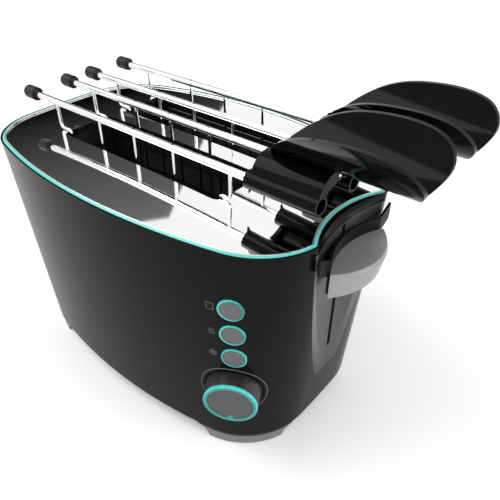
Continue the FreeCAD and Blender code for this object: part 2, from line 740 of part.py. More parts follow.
def knob_ring():
    low = KNOB_PROUD - KNOB_RING_HEIGHT
    ring = KNOB.ring(KNOB_TOP_RADIUS, KNOB_TOP_RADIUS - KNOB_RING_WIDTH, low, KNOB_PROUD)
    return solid_of(ring.fuse(knob_pointer(low, KNOB_PROUD, 0)))


def knob_face():
    low = KNOB_PROUD - KNOB_RING_HEIGHT
    face = KNOB.rod(KNOB_TOP_RADIUS - KNOB_RING_WIDTH - FIT_GAP, low, low + KNOB_FACE_HEIGHT)
    return solid_of(face.cut(knob_pointer(low - PAST, KNOB_PROUD + PAST, FIT_GAP)))


def potentiometer():
    top = -RECESS_DEPTH - RECESS_FLOOR
    can = KNOB.rod(POT_RADIUS, top - POT_LENGTH, top)
    return can.cut(KNOB.rod(SHAFT_RADIUS + RUNNING_GAP, -SHAFT_DEPTH - SEAT_GAP, 0))


def button(place):
    cap = place.rod(BUTTON_RADIUS, -BUTTON_BACK - BUTTON_FLANGE_THICKNESS, BUTTON_PROUD)
    face = place.at(BUTTON_PROUD)
    rim = [e for e in cap.Edges if e.Length > PAST and e.BoundBox.Center.sub(face).Length < PAST]
    cap = cap.makeFillet(BUTTON_ROUNDING, rim)
    flange = place.rod(BUTTON_RADIUS + BUTTON_FLANGE, -BUTTON_BACK - BUTTON_FLANGE_THICKNESS, -BUTTON_BACK)
    stem = place.rod(BOSS_RADIUS, -SWITCH_DEPTH + BUTTON_TRAVEL + SEAT_GAP, -BUTTON_BACK)
    return solid_of(fuse([cap, flange, stem]))


def button_rings():
    outer = BUTTON_RADIUS + BUTTON_RING
    return [p.ring(outer, BUTTON_RADIUS + FIT_GAP, -BUTTON_PROUD, BUTTON_PROUD / 2) for p in BUTTONS]


def control_board():
    reach = BUTTON_PITCH + BOARD_MARGIN
    board = BOARD_PLACE.plate(BOARD_WIDTH / 2, -reach, reach, -BOARD_DEPTH - CIRCUIT_THICKNESS, -BOARD_DEPTH)
    foot = -BOARD_DEPTH - CIRCUIT_THICKNESS / 2
    switches = [p.plate(SWITCH_HALF, -SWITCH_HALF, SWITCH_HALF, foot, -SWITCH_DEPTH) for p in BUTTONS]
    return solid_of(fuse([board] + switches))


# Chassis and heating

def chassis_sheet(x):
    return below_crown(box(x, x + CHASSIS_SHEET, CHASSIS_FRONT, CHASSIS_BACK, BASE_TOP, SKY), SEAT_DROP)


def rack_windows(x):
    low = RACK_TOP - RACK_HEIGHT - TRAVEL_DOWN - RACK_SPARE
    high = RACK_TOP + TRAVEL_UP + RACK_SPARE
    half = RACK_STRIP / 2 + RACK_PLAY
    return [box(x - PAST, x + CHASSIS_SHEET + PAST, y - half, y + half, low, high) for y in SLOT_CENTRES]


def chassis_plate_left():
    sheet = chassis_sheet(CHASSIS_LEFT)
    for window in rack_windows(CHASSIS_LEFT):
        sheet = sheet.cut(window)
    return solid_of(sheet)


def chassis_plate_right():
    sheet = chassis_sheet(CHASSIS_RIGHT)
    for window in rack_windows(CHASSIS_RIGHT):
        sheet = sheet.cut(window)
    far = CHASSIS_RIGHT + FLANGE_LENGTH
    flanges = [box(CHASSIS_RIGHT, far, -FLANGE_HALF, FLANGE_HALF, z, z + FLANGE_SHEET)
               for z in (FLANGE_LOW, FLANGE_HIGH)]
    sheet = fuse([sheet] + flanges)
    for y in (-GUIDE_Y, GUIDE_Y):
        sheet = sheet.cut(rod(GUIDE_RADIUS, V(GUIDE_X, y, 0), V(GUIDE_X, y, SKY)))
    return solid_of(sheet)


def guide_rods():
    return [rod(GUIDE_RADIUS, V(GUIDE_X, y, FLANGE_LOW), V(GUIDE_X, y, FLANGE_HIGH + FLANGE_SHEET))
            for y in (-GUIDE_Y, GUIDE_Y)]


def guard_grid(y):
    x0 = CHASSIS_LEFT + CHASSIS_SHEET
    x1 = CHASSIS_RIGHT
    runs = [rod(GUARD_WIRE, V(x0, y, z), V(x1, y, z)) for z in (GUARD_LOW, GUARD_HIGH)]
    step = (SLOT_X1 - SLOT_X0) / (GUARD_COUNT + 1)
    for i in range(GUARD_COUNT):
        x = SLOT_X0 + (i + 1) * step
        runs.append(rod(GUARD_WIRE, V(x, y, GUARD_LOW), V(x, y, GUARD_HIGH)))
    return solid_of(runs[0].multiFuse(runs[1:]))


def bread_guards(y):
    reach = SLOT_WIDTH / 2 + GUARD_OFFSET
    return [guard_grid(y - reach), guard_grid(y + reach)]


FRONT_BOARD_Y = SLOT_CENTRES[0] - SLOT_WIDTH / 2 - BOARD_OFFSET
MIDDLE_BOARD_Y = sum(SLOT_CENTRES) / 2
REAR_BOARD_Y = SLOT_CENTRES[1] + SLOT_WIDTH / 2 + BOARD_OFFSET


def heater_board(y):
    return box(CHASSIS_LEFT + CHASSIS_SHEET, CHASSIS_RIGHT, y - BOARD_THICKNESS / 2, y + BOARD_THICKNESS / 2,
               BOARD_LOW, BOARD_HIGH)


def heater_ribbons():
    made = []
    pitch = (BOARD_HIGH - BOARD_LOW) / RIBBON_COUNT
    sides = ((FRONT_BOARD_Y, 1), (MIDDLE_BOARD_Y, -1), (MIDDLE_BOARD_Y, 1), (REAR_BOARD_Y, -1))
    for y, facing in sides:
        near = y + facing * BOARD_THICKNESS / 2
        far = near + facing * RIBBON_THICKNESS
        for i in range(RIBBON_COUNT):
            z = BOARD_LOW + (i + 0.5) * pitch
            made.append(box(SLOT_X0, SLOT_X1, min(near, far), max(near, far), z, z + RIBBON_HEIGHT))
    return made


def reflector(y, facing):
    """A bright sheet with its top and bottom edges folded towards the slot."""
    x0 = CHASSIS_LEFT + CHASSIS_SHEET
    low = BOARD_LOW - REFLECTOR_OVERLAP
    high = BOARD_HIGH + REFLECTOR_OVERLAP
    sheet = box(x0, CHASSIS_RIGHT, y - REFLECTOR_SHEET / 2, y + REFLECTOR_SHEET / 2, low, high)
    far = y + facing * REFLECTOR_FOLD
    folds = [box(x0, CHASSIS_RIGHT, min(y, far), max(y, far), z, z + REFLECTOR_SHEET)
             for z in (low, high - REFLECTOR_SHEET)]
    return solid_of(fuse([sheet] + folds))


# Carriage

CROSSHEAD_X = CHASSIS_RIGHT + CHASSIS_SHEET + CROSSHEAD_GAP
SLIDER_LOW = SLIDER_TOP - SLIDER_HEIGHT
EAR_LOW = SLIDER_TOP - EAR_HEIGHT


def bread_rack(y):
    strip = box(CHASSIS_LEFT - RACK_TAIL, CROSSHEAD_X, y - RACK_STRIP / 2, y + RACK_STRIP / 2,
                RACK_TOP - RACK_HEIGHT, RACK_TOP)
    step = (SLOT_X1 - SLOT_X0 - 2 * RACK_MARGIN) / (RACK_COUNT - 1)
    z = RACK_TOP - RACK_WIRE
    bars = []
    for i in range(RACK_COUNT):
        x = SLOT_X0 + RACK_MARGIN + i * step
        bars.append(rod(RACK_WIRE, V(x, y - RACK_HALF, z), V(x, y + RACK_HALF, z)))
    return solid_of(strip.multiFuse(bars))


def carriage_slider():
    crosshead = box(CROSSHEAD_X, CROSSHEAD_X + CROSSHEAD_SHEET, SLOT_CENTRES[0] - CROSSHEAD_OVERHANG,
                    SLOT_CENTRES[1] + CROSSHEAD_OVERHANG, SLIDER_LOW, SLIDER_TOP)
    block = box(CROSSHEAD_X, SLIDER_END, -SLIDER_HALF, SLIDER_HALF, SLIDER_LOW, SLIDER_TOP)
    ear = box(SLIDER_END - ARMATURE_SIZE, SLIDER_END, ARMATURE_Y, -SLIDER_HALF, EAR_LOW, SLIDER_TOP)
    upright = box(SLIDER_END - UPRIGHT_DEPTH, SLIDER_END, -UPRIGHT_HALF, UPRIGHT_HALF, SLIDER_LOW, ARM_HIGH)
    arm = box(SLIDER_END - UPRIGHT_DEPTH, YOKE_X - YOKE_SHEET, -ARM_HALF, ARM_HALF, ARM_LOW, ARM_HIGH)
    slider = fuse([crosshead, block, ear, upright, arm])
    for y in (-GUIDE_Y, GUIDE_Y):
        slider = slider.cut(rod(GUIDE_RADIUS + RUNNING_GAP, V(GUIDE_X, y, 0), V(GUIDE_X, y, SKY)))
    return solid_of(slider)


def latch_armature():
    return box(SLIDER_END - ARMATURE_SIZE, SLIDER_END, ARMATURE_Y, ARMATURE_Y + ARMATURE_SIZE,
               EAR_LOW - ARMATURE_HEIGHT, EAR_LOW)


def electromagnet():
    top = EAR_LOW - ARMATURE_HEIGHT - TRAVEL_DOWN - MAGNET_GAP
    x0 = SLIDER_END - ARMATURE_SIZE
    y1 = ARMATURE_Y + ARMATURE_SIZE
    coil = box(x0, SLIDER_END, ARMATURE_Y, y1, BASE_TOP, top - CORE_PROUD)
    core = box(x0 + CORE_INSET, SLIDER_END - CORE_INSET, ARMATURE_Y + CORE_INSET, y1 - CORE_INSET,
               BASE_TOP, top)
    return solid_of(coil.fuse(core))


def return_spring():
    tube = rod(SPRING_RADIUS, V(SPRING_X, 0, SLIDER_TOP), V(SPRING_X, 0, FLANGE_HIGH))
    return tube.cut(rod(SPRING_RADIUS - SPRING_WALL, V(SPRING_X, 0, 0), V(SPRING_X, 0, SKY)))


def pad_back(grow, half, z0, z1):
    """All that lies in front of the pad's hollow back, grown by grow towards the body."""
    wire = arc_region(YOKE_RADIUS + grow, YOKE_X - grow, z0, half)
    return Part.Face(wire).extrude(V(0, 0, z1 - z0))


def back_x(y, grow):
    """Where the pad's back, grown by grow, lies at a distance y from the middle."""
    return YOKE_X + YOKE_RADIUS - math.sqrt((YOKE_RADIUS + grow) ** 2 - y ** 2)


def lever_backing():
    """The lever's black backing: a curved sheet with two wings that end over the bezel."""
    sheet = pad_back(YOKE_SHEET, YOKE_BEND, 0, SKY).cut(pad_back(0, YOKE_BEND + PAST, -PAST, SKY + PAST))
    wing_x = back_x(YOKE_BEND, YOKE_SHEET)
    far = YOKE_OUTLINE[2][0]
    sides = ((-far, -YOKE_BEND), (YOKE_BEND, far))
    wings = [box(wing_x, wing_x + YOKE_SHEET, low, high, 0, SKY) for low, high in sides]
    points = [V(0, y, PAD_HIGH + z) for y, z in YOKE_OUTLINE]
    points += [V(0, -y, PAD_HIGH + z) for y, z in reversed(YOKE_OUTLINE)]
    return solid_of(fuse([sheet] + wings).common(prism(points, V(FAR, 0, 0))))


def pad_outline(nose, z):
    """Closed outline of the pad at height z: a bowed front and straight sides."""
    start = back_x(PAD_HALF, 0)
    back = YOKE_X - CUT_REACH
    front = Part.Arc(V(start, -PAD_HALF, z), V(nose, 0, z), V(start, PAD_HALF, z)).toShape()
    corners = [V(start, PAD_HALF, z), V(back, PAD_HALF, z), V(back, -PAD_HALF, z), V(start, -PAD_HALF, z)]
    return Part.Wire([front] + [Part.makeLine(a, b) for a, b in zip(corners, corners[1:])])


def lever_pad():
    edge = PAD_HIGH - PAD_BEVEL
    block = Part.makeLoft([pad_outline(PAD_FRONT_LOW, PAD_LOW), pad_outline(PAD_FRONT, edge),
                           pad_outline(PAD_FRONT - PAD_BEVEL_INSET, PAD_HIGH)], True, True)
    return solid_of(block.common(pad_back(0, PAD_HALF + PAST, PAD_LOW - PAST, PAD_HIGH + PAST)))


# Sandwich tongs

RAIL_Z = CROWN_HEIGHT - SEAT_DROP + PLATE_THICKNESS + RAIL_LIFT
HINGE_Z = CROWN_HEIGHT - SEAT_DROP + PLATE_THICKNESS + HINGE_LIFT


def plate_top(x):
    return crown_z(x, SEAT_DROP - PLATE_THICKNESS)


def jaw_wires(centre, side):
    """One side of the cage: a rail and the wire frame that hangs from it."""
    y = centre + side * RAIL_HALF
    rest = WIRE_RADIUS + SEAT_GAP
    left = plate_top(SLOT_X0) + rest
    right = plate_top(SLOT_X1) + rest
    inside_left = SLOT_X0 + CAGE_MARGIN
    inside_right = SLOT_X1 - CAGE_MARGIN
    path = [V(END_LEFT, y, RAIL_Z), V(END_LEFT, y, left), V(inside_left, y, left),
            V(inside_left, y, CAGE_BOTTOM), V(inside_right, y, CAGE_BOTTOM), V(inside_right, y, right),
            V(END_RIGHT, y, right), V(END_RIGHT, y, RAIL_Z)]
    runs = [bent_wire(path, WIRE_RADIUS, WIRE_BEND)]
    for x in INNER_WIRES:
        runs.append(rod(WIRE_RADIUS, V(x, y, CAGE_BOTTOM), V(x, y, RAIL_Z + RAIL_RADIUS)))
        runs.append(rod(WIRE_RADIUS, V(x, y, CAGE_BOTTOM), V(x, y - side * PRONG_LENGTH, CAGE_BOTTOM)))
    rail = rod(RAIL_RADIUS, V(RAIL_LEFT, y, RAIL_Z), V(RAIL_RIGHT, y, RAIL_Z))
    return solid_of(rail.multiFuse(runs))


def jaw_tip(centre, side):
    y = centre + side * RAIL_HALF
    tip = rod(TIP_RADIUS, V(TIP_LEFT, y, RAIL_Z), V(TIP_RIGHT, y, RAIL_Z))
    nose = [e for e in tip.Edges if e.BoundBox.XMax < TIP_LEFT + FIT_GAP]
    tip = tip.makeFillet(TIP_ROUNDING, nose)
    return tip.cut(rod(RAIL_RADIUS, V(RAIL_LEFT, y, RAIL_Z), V(TIP_RIGHT + PAST, y, RAIL_Z)))


def section_arc(centre, side, points, x, grow=0.0):
    """An arc through three points of a handle section, moved outwards by grow."""
    spots = [V(x, centre + side * out, HINGE_Z + high) for out, high in points]
    middle = Part.Arc(*spots).toShape().Curve.Center
    return Part.Arc(*[p.add(p.sub(middle).normalize() * grow) for p in spots]).toShape()


def between_arcs(near, far, length):
    """A closed section between two arcs, pushed along the toaster."""
    ends = [Part.makeLine(near.Vertexes[i].Point, far.Vertexes[i].Point) for i in (0, 1)]
    return Part.Face(Part.Wire(Part.__sortEdges__([near, ends[0], far, ends[1]]))).extrude(V(length, 0, 0))


def curved_sheet(centre, side, points, x0, x1):
    near = section_arc(centre, side, points, x0, -HANDLE_SHEET / 2)
    far = section_arc(centre, side, points, x0, HANDLE_SHEET / 2)
    return between_arcs(near, far, x1 - x0)


def end_rib(centre, side, x):
    """A rib that closes the hollow under the arm, down to the arch's underside."""
    top = section_arc(centre, side, ARM_SECTION, x)
    underside = section_arc(centre, side, ARM_UNDERSIDE, x)
    return between_arcs(top, underside, HANDLE_SHEET)


def leaf_outline():
    """The leaf's rounded side view, as a solid right across the toaster."""
    points = [V(x, -FAR, HINGE_Z + z) for x, z in LEAF_OUTLINE]
    curve = Part.BSplineCurve()
    curve.interpolate(points)
    closing = Part.makeLine(points[-1], points[0])
    face = Part.Face(Part.Wire([curve.toShape(), closing]))
    return face.extrude(V(0, 2 * FAR, 0))


def knuckle_spans(first):
    """Every second span of the hinge, from the first or the second one."""
    step = (BARREL_RIGHT - HANDLE_LEFT) / KNUCKLE_COUNT
    return [(HANDLE_LEFT + i * step, HANDLE_LEFT + (i + 1) * step) for i in range(first, KNUCKLE_COUNT, 2)]


def leaf(centre, side):
    """One leaf of the squeeze handle, with a bead along its lower edge."""
    sheet = curved_sheet(centre, side, LEAF_SECTION, HANDLE_LEFT - PAST, FAR)
    foot = LEAF_SECTION[0]
    y = centre + side * foot[0]
    z = HINGE_Z + foot[1]
    bead = rod(HANDLE_SHEET / 2, V(HANDLE_LEFT - PAST, y, z), V(FAR, y, z))
    return solid_of(sheet.fuse(bead).common(leaf_outline()))


def stop_peg(centre):
    """The small peg on the outer side of the rear leaf."""
    y = centre + PEG_SPOT[0]
    z = HINGE_Z + PEG_SPOT[1]
    return rod(PEG_RADIUS, V(PEG_X, y - HANDLE_SHEET / 2, z), V(PEG_X, y + PEG_LENGTH, z - PEG_LENGTH))


def barrel_nib(y):
    """The small pointed nib under the left end of a barrel."""
    low = RAIL_Z - BARREL_RADIUS - NIB_DROP
    high = RAIL_Z - BARREL_RADIUS + NIB_LENGTH / 2
    corners = [V(BARREL_LEFT, y - HANDLE_SHEET / 4, low), V(BARREL_LEFT, y - HANDLE_SHEET / 4, high),
               V(BARREL_LEFT + NIB_LENGTH, y - HANDLE_SHEET / 4, high)]
    return prism(corners, V(0, HANDLE_SHEET / 2, 0))


def handle_half(centre, side):
    """Barrel, arched arm and leaf of one half of the squeeze handle, moulded in one."""
    y = centre + side * RAIL_HALF
    first = 0 if side < 0 else 1
    pieces = [rod(BARREL_RADIUS, V(BARREL_LEFT, y, RAIL_Z), V(BARREL_RIGHT, y, RAIL_Z)), barrel_nib(y),
              curved_sheet(centre, side, ARM_SECTION, HANDLE_LEFT, BARREL_RIGHT), leaf(centre, side)]
    pieces += [end_rib(centre, side, x) for x in (HANDLE_LEFT, BARREL_RIGHT - HANDLE_SHEET)]
    if side > 0:
        pieces.append(stop_peg(centre))
    for low, high in knuckle_spans(first):
        pieces.append(rod(KNUCKLE_RADIUS, V(low + KNUCKLE_GAP / 2, centre, HINGE_Z),
                          V(high - KNUCKLE_GAP / 2, centre, HINGE_Z)))
    half = fuse(pieces)
    for low, high in knuckle_spans(1 - first):
        room = rod(KNUCKLE_RADIUS + KNUCKLE_GAP, V(low - KNUCKLE_GAP / 2, centre, HINGE_Z),
                   V(high + KNUCKLE_GAP / 2, centre, HINGE_Z))
        half = half.cut(room)
    half = half.cut(rod(HINGE_PIN + RUNNING_GAP, V(0, centre, HINGE_Z), V(FAR, centre, HINGE_Z)))
    half = half.cut(rod(RAIL_RADIUS, V(0, y, RAIL_Z), V(RAIL_RIGHT, y, RAIL_Z)))
    half = half.cut(rod(BARREL_MOUTH, V(RAIL_RIGHT + BARREL_STOP, y, RAIL_Z), V(FAR, y, RAIL_Z)))
    return solid_of(half)


def hinge_pin(centre):
    return rod(HINGE_PIN, V(HANDLE_LEFT, centre, HINGE_Z), V(BARREL_RIGHT, centre, HINGE_Z))


def all_pieces():
    front, rear = SLOT_CENTRES
    pieces = {
        "outer_shell": outer_shell(),
        "lever_panel": lever_panel(),
        "lever_bezel": lever_bezel(),
        "rim_ring": rim_ring(),
        "top_plate": top_plate(),
        "base_plate": base_plate(),
        "foot_front_left": corner_foot(-1, -1),
        "foot_front_right": corner_foot(1, -1),
        "foot_rear_left": corner_foot(-1, 1),
        "foot_rear_right": corner_foot(1, 1),
        "foot_pads": foot_pads(),
        "screws": screws(),
        "crumb_tray": crumb_tray(),
        "crumb_tray_grip": crumb_tray_grip(),
        "cord_bushing": cord_bushing(),
        "knob_recess": knob_recess(),
        "knob_body": knob_body(),
        "knob_ring": knob_ring(),
        "knob_face": knob_face(),
        "potentiometer": potentiometer(),
        "defrost_button": button(BUTTONS[2]),
        "reheat_button": button(BUTTONS[1]),
        "cancel_button": button(BUTTONS[0]),
        "button_rings": button_rings(),
        "control_board": control_board(),
        "chassis_plate_left": chassis_plate_left(),
        "chassis_plate_right": chassis_plate_right(),
        "guide_rods": guide_rods(),
        "bread_guards_front": bread_guards(front),
        "bread_guards_rear": bread_guards(rear),
        "heater_board_front": heater_board(FRONT_BOARD_Y),
        "heater_board_middle": heater_board(MIDDLE_BOARD_Y),
        "heater_board_rear": heater_board(REAR_BOARD_Y),
        "heater_ribbons": heater_ribbons(),
        "reflector_front": reflector(front - SLOT_WIDTH / 2 - REFLECTOR_OFFSET, 1),
        "reflector_rear": reflector(rear + SLOT_WIDTH / 2 + REFLECTOR_OFFSET, -1),
        "bread_rack_front": bread_rack(front),
        "bread_rack_rear": bread_rack(rear),
        "carriage_slider": carriage_slider(),
        "latch_armature": latch_armature(),
        "electromagnet": electromagnet(),
        "return_spring": return_spring(),
        "lever_backing": lever_backing(),
        "lever_pad": lever_pad(),
    }
    for name, centre in (("front_tong", front), ("rear_tong", rear)):
        for jaw, side in (("front", -1), ("rear", 1)):
            pieces[name + "_wires_" + jaw] = jaw_wires(centre, side)
            pieces[name + "_tip_" + jaw] = jaw_tip(centre, side)
            pieces[name + "_handle_" + jaw] = handle_half(centre, side)
        pieces[name + "_hinge_pin"] = hinge_pin(centre)
    return pieces


def main():
    os.makedirs("parts", exist_ok=True)
    for name, shape in all_pieces().items():
        if isinstance(shape, list):
            shape = Part.makeCompound(shape)
        shape.exportStep("parts/" + name + ".step")


main()
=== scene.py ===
"""Looks of a two-slice toaster with lift-out tongs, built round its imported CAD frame.

Metres, +Z up. The frame's origin lies on the plane of the feet, +X points at the lever end.
"""

import math

import bmesh
import bpy
import numpy as np
from mathutils import Matrix, Vector


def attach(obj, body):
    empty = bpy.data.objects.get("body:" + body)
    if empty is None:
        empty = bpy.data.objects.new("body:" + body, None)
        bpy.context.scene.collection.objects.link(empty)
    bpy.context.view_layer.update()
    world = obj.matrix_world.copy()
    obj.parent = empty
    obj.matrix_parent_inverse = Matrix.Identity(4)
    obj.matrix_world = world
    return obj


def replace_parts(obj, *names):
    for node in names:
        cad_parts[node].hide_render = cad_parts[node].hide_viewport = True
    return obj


bl_info = {
    "name": "Toaster maker",
    "version": (1, 0, 0),
    "blender": (4, 5, 0),
    "location": "View3D > Sidebar > Toaster",
    "description": "Dresses a two-slice toaster with lift-out tongs in its finishes",
    "category": "Object",
}

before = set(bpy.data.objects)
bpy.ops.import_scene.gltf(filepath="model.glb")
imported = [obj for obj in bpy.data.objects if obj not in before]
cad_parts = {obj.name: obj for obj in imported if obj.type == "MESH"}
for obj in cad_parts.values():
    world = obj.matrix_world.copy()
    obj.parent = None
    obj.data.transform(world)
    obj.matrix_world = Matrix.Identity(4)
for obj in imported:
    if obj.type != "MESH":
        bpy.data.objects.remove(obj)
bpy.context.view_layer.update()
MM = 0.001

# Middles of the buttons and of the signs beside them, from the top down
BUTTON_SPOTS = ((0.1029, -0.0675, 0.1305), (0.1024, -0.0667, 0.1112), (0.1018, -0.0659, 0.0919))
SIGN_SPOTS = ((0.0906, -0.0726, 0.1298), (0.0905, -0.0716, 0.1103), (0.0903, -0.0709, 0.0926))

# How far from a button's axis the painted shade on its ring's inner slope ends and the painted
# highlight on the outer edge begins
BUTTON_SLOPE_END = 7.0 * MM

# Profile of the rim's band, (inset, drop) in millimetres: outer foot, slope, crest, inner foot
BAND_PROFILE = ((1.20, 1.85), (1.20, 1.0), (1.35, 0.82), (2.70, -0.08), (2.88, -0.16),
                (3.02, -0.05), (3.05, 1.85))

# The rim's bead, in millimetres and radians: an arch about its middle, on two upright feet
BEAD_MIDDLE = (3.57, 0.35)
BEAD_RADIUS = 0.45
BEAD_ARCH = (0.2, 2.94)
BEAD_FOOT = 1.2

# Lamps: name, place, width and height in metres, power in watts
LAMPS = (("key_light", (-0.7, -0.5, 1.3), (0.9, 0.9), 9.0),
         ("end_light", (1.5, 0.3, 0.7), (0.7, 1.1), 8.0))
LAMP_TARGET = (0, 0, 0.1)

# Colours of the pieces that have no setting of their own
CHROME = (0.93, 0.935, 0.94)
# Grey of the lever bezel at its top, where its highlight is painted
BORDER_GREY = (0.16, 0.16, 0.162)
# Light grey of the bead round the knob's recess: a painted highlight on black plastic
RECESS_HIGHLIGHT_GREY = (0.11, 0.11, 0.112)
SKIRT_BLACK = (0.022, 0.0225, 0.023)
BASE_BLACK = (0.016, 0.016, 0.017)
BACKING_BLACK = (0.006, 0.006, 0.006)
PAD_RUBBER = (0.02, 0.02, 0.02)
TIP_RUBBER = (0.005, 0.005, 0.005)
ZINC = (0.60, 0.61, 0.62)
DULL_ZINC = (0.55, 0.56, 0.57)
# Sheet darkened far below its own colour, as painted shade inside the slots
SLOT_SHADE_ZINC = (0.075, 0.072, 0.07)
STEEL_WIRE = (0.72, 0.73, 0.74)
# This wire, the brown mica and the heater ribbons below are darkened as painted shade inside the
# slots
SLOT_SHADE_WIRE = (0.10, 0.10, 0.105)
SLOT_SHADE_MICA = (0.036, 0.031, 0.026)
SLOT_SHADE_RIBBON = (0.055, 0.05, 0.046)
COPPER = (0.62, 0.26, 0.11)
GREEN_LACQUER = (0.02, 0.16, 0.06)
CREAM_PLASTIC = (0.62, 0.60, 0.55)


# Settings a user would change

class ToasterSizes(bpy.types.PropertyGroup):
    """Sizes of the signs that are printed on the wall."""

    sign_height: bpy.props.FloatProperty(
        name="Sign height", description="Height of the pictograms beside the buttons",
        default=4.9 * MM, unit="LENGTH")
    sign_stroke: bpy.props.FloatProperty(
        name="Sign stroke", description="Width of the pictograms' lines",
        default=0.34 * MM, unit="LENGTH")
    print_lift: bpy.props.FloatProperty(
        name="Print lift", description="How far the printed signs stand off the wall",
        default=0.06 * MM, unit="LENGTH")


class ToasterRim(bpy.types.PropertyGroup):
    """The rim's half sizes and arc radii, its arched top and the notch at the lever end."""

    half_length: bpy.props.FloatProperty(
        name="Half length", description="From the middle to the end",
        default=133.14 * MM, unit="LENGTH")
    half_width: bpy.props.FloatProperty(
        name="Half width", description="From the middle to the side",
        default=85.29 * MM, unit="LENGTH")
    end_radius: bpy.props.FloatProperty(
        name="End radius", description="Radius of the end arcs",
        default=900.0 * MM, unit="LENGTH")
    side_radius: bpy.props.FloatProperty(
        name="Side radius", description="Radius of the side arcs",
        default=369.84 * MM, unit="LENGTH")
    corner_radius: bpy.props.FloatProperty(
        name="Corner radius", description="Radius of the corner arcs",
        default=48.05 * MM, unit="LENGTH")
    crown_height: bpy.props.FloatProperty(
        name="Crown height", description="Height of the arched top in the middle",
        default=169.3 * MM, unit="LENGTH")
    crown_radius: bpy.props.FloatProperty(
        name="Crown radius", description="Radius of the arched top",
        default=3041.0 * MM, unit="LENGTH")
    notch_nose: bpy.props.FloatProperty(
        name="Notch nose", description="How far out the notch's deepest point lies",
        default=122.75 * MM, unit="LENGTH")
    notch_radius: bpy.props.FloatProperty(
        name="Notch radius", description="Radius of the notch",
        default=67.25 * MM, unit="LENGTH")


class ToasterKnob(bpy.types.PropertyGroup):
    """Place and sizes of the browning knob, on the corner beside the lever."""

    place: bpy.props.FloatVectorProperty(
        name="Place", description="Where the knob's axis meets the wall", subtype="TRANSLATION",
        default=(0.1005, -0.065732, 0.060))
    axis: bpy.props.FloatVectorProperty(
        name="Axis", description="Outward direction of the knob's axis", subtype="DIRECTION",
        default=(0.4869, -0.8719, -0.0522))
    proud: bpy.props.FloatProperty(
        name="Proud", description="How far the knob stands out of the wall",
        default=10.2 * MM, unit="LENGTH")
    foot: bpy.props.FloatProperty(
        name="Foot", description="How deep the skirt reaches into its recess",
        default=5.0 * MM, unit="LENGTH")
    foot_radius: bpy.props.FloatProperty(
        name="Foot radius", description="Radius of the skirt in the recess",
        default=17.9 * MM, unit="LENGTH")
    top_radius: bpy.props.FloatProperty(
        name="Top radius", description="Outer radius of the coloured ring",
        default=16.8 * MM, unit="LENGTH")
    ring_width: bpy.props.FloatProperty(
        name="Ring width", description="Width of the coloured ring",
        default=2.5 * MM, unit="LENGTH")
    ring_height: bpy.props.FloatProperty(
        name="Ring height", description="Height of the coloured ring above the skirt",
        default=2.1 * MM, unit="LENGTH")
    mark_length: bpy.props.FloatProperty(
        name="Mark", description="Length of the pointer that the ring carries",
        default=3.8 * MM, unit="LENGTH")
    recess_radius: bpy.props.FloatProperty(
        name="Recess radius", description="Radius of the bead round the knob's recess",
        default=20.9 * MM, unit="LENGTH")
    recess_bead: bpy.props.FloatProperty(
        name="Recess bead", description="Half the thickness of that bead",
        default=0.35 * MM, unit="LENGTH")


class ToasterColours(bpy.types.PropertyGroup):
    """Colours of the finishes that are seen first."""

    housing: bpy.props.FloatVectorProperty(
        name="Housing", description="Gloss plastic of the housing", subtype="COLOR",
        default=(0.0060, 0.0060, 0.0065))
    handle: bpy.props.FloatVectorProperty(
        name="Handles", description="Gloss plastic of the tongs' handles", subtype="COLOR",
        default=(0.0035, 0.0035, 0.0038))
    ring: bpy.props.FloatVectorProperty(
        name="Rings", description="Coloured rings of the buttons and the knob", subtype="COLOR",
        default=(0.075, 0.62, 0.60))
    band: bpy.props.FloatVectorProperty(
        name="Rim band", description="Coloured band round the rim", subtype="COLOR",
        default=(0.13, 0.70, 0.65))
    button: bpy.props.FloatVectorProperty(
        name="Buttons", description="Faces of the buttons and the knob", subtype="COLOR",
        default=(0.135, 0.135, 0.135))
    sign: bpy.props.FloatVectorProperty(
        name="Signs", description="Print of the pictograms beside the buttons", subtype="COLOR",
        default=(0.17, 0.17, 0.17))
    silver: bpy.props.FloatVectorProperty(
        name="Silver", description="Paint of the lever pad", subtype="COLOR",
        default=(0.34, 0.34, 0.34))
    foot: bpy.props.FloatVectorProperty(
        name="Feet", description="Grey plastic of the feet", subtype="COLOR",
        default=(0.22, 0.22, 0.225))
    panel: bpy.props.FloatVectorProperty(
        name="Lever panel", description="Dark grey plastic of the lever panel", subtype="COLOR",
        default=(0.035, 0.035, 0.036))


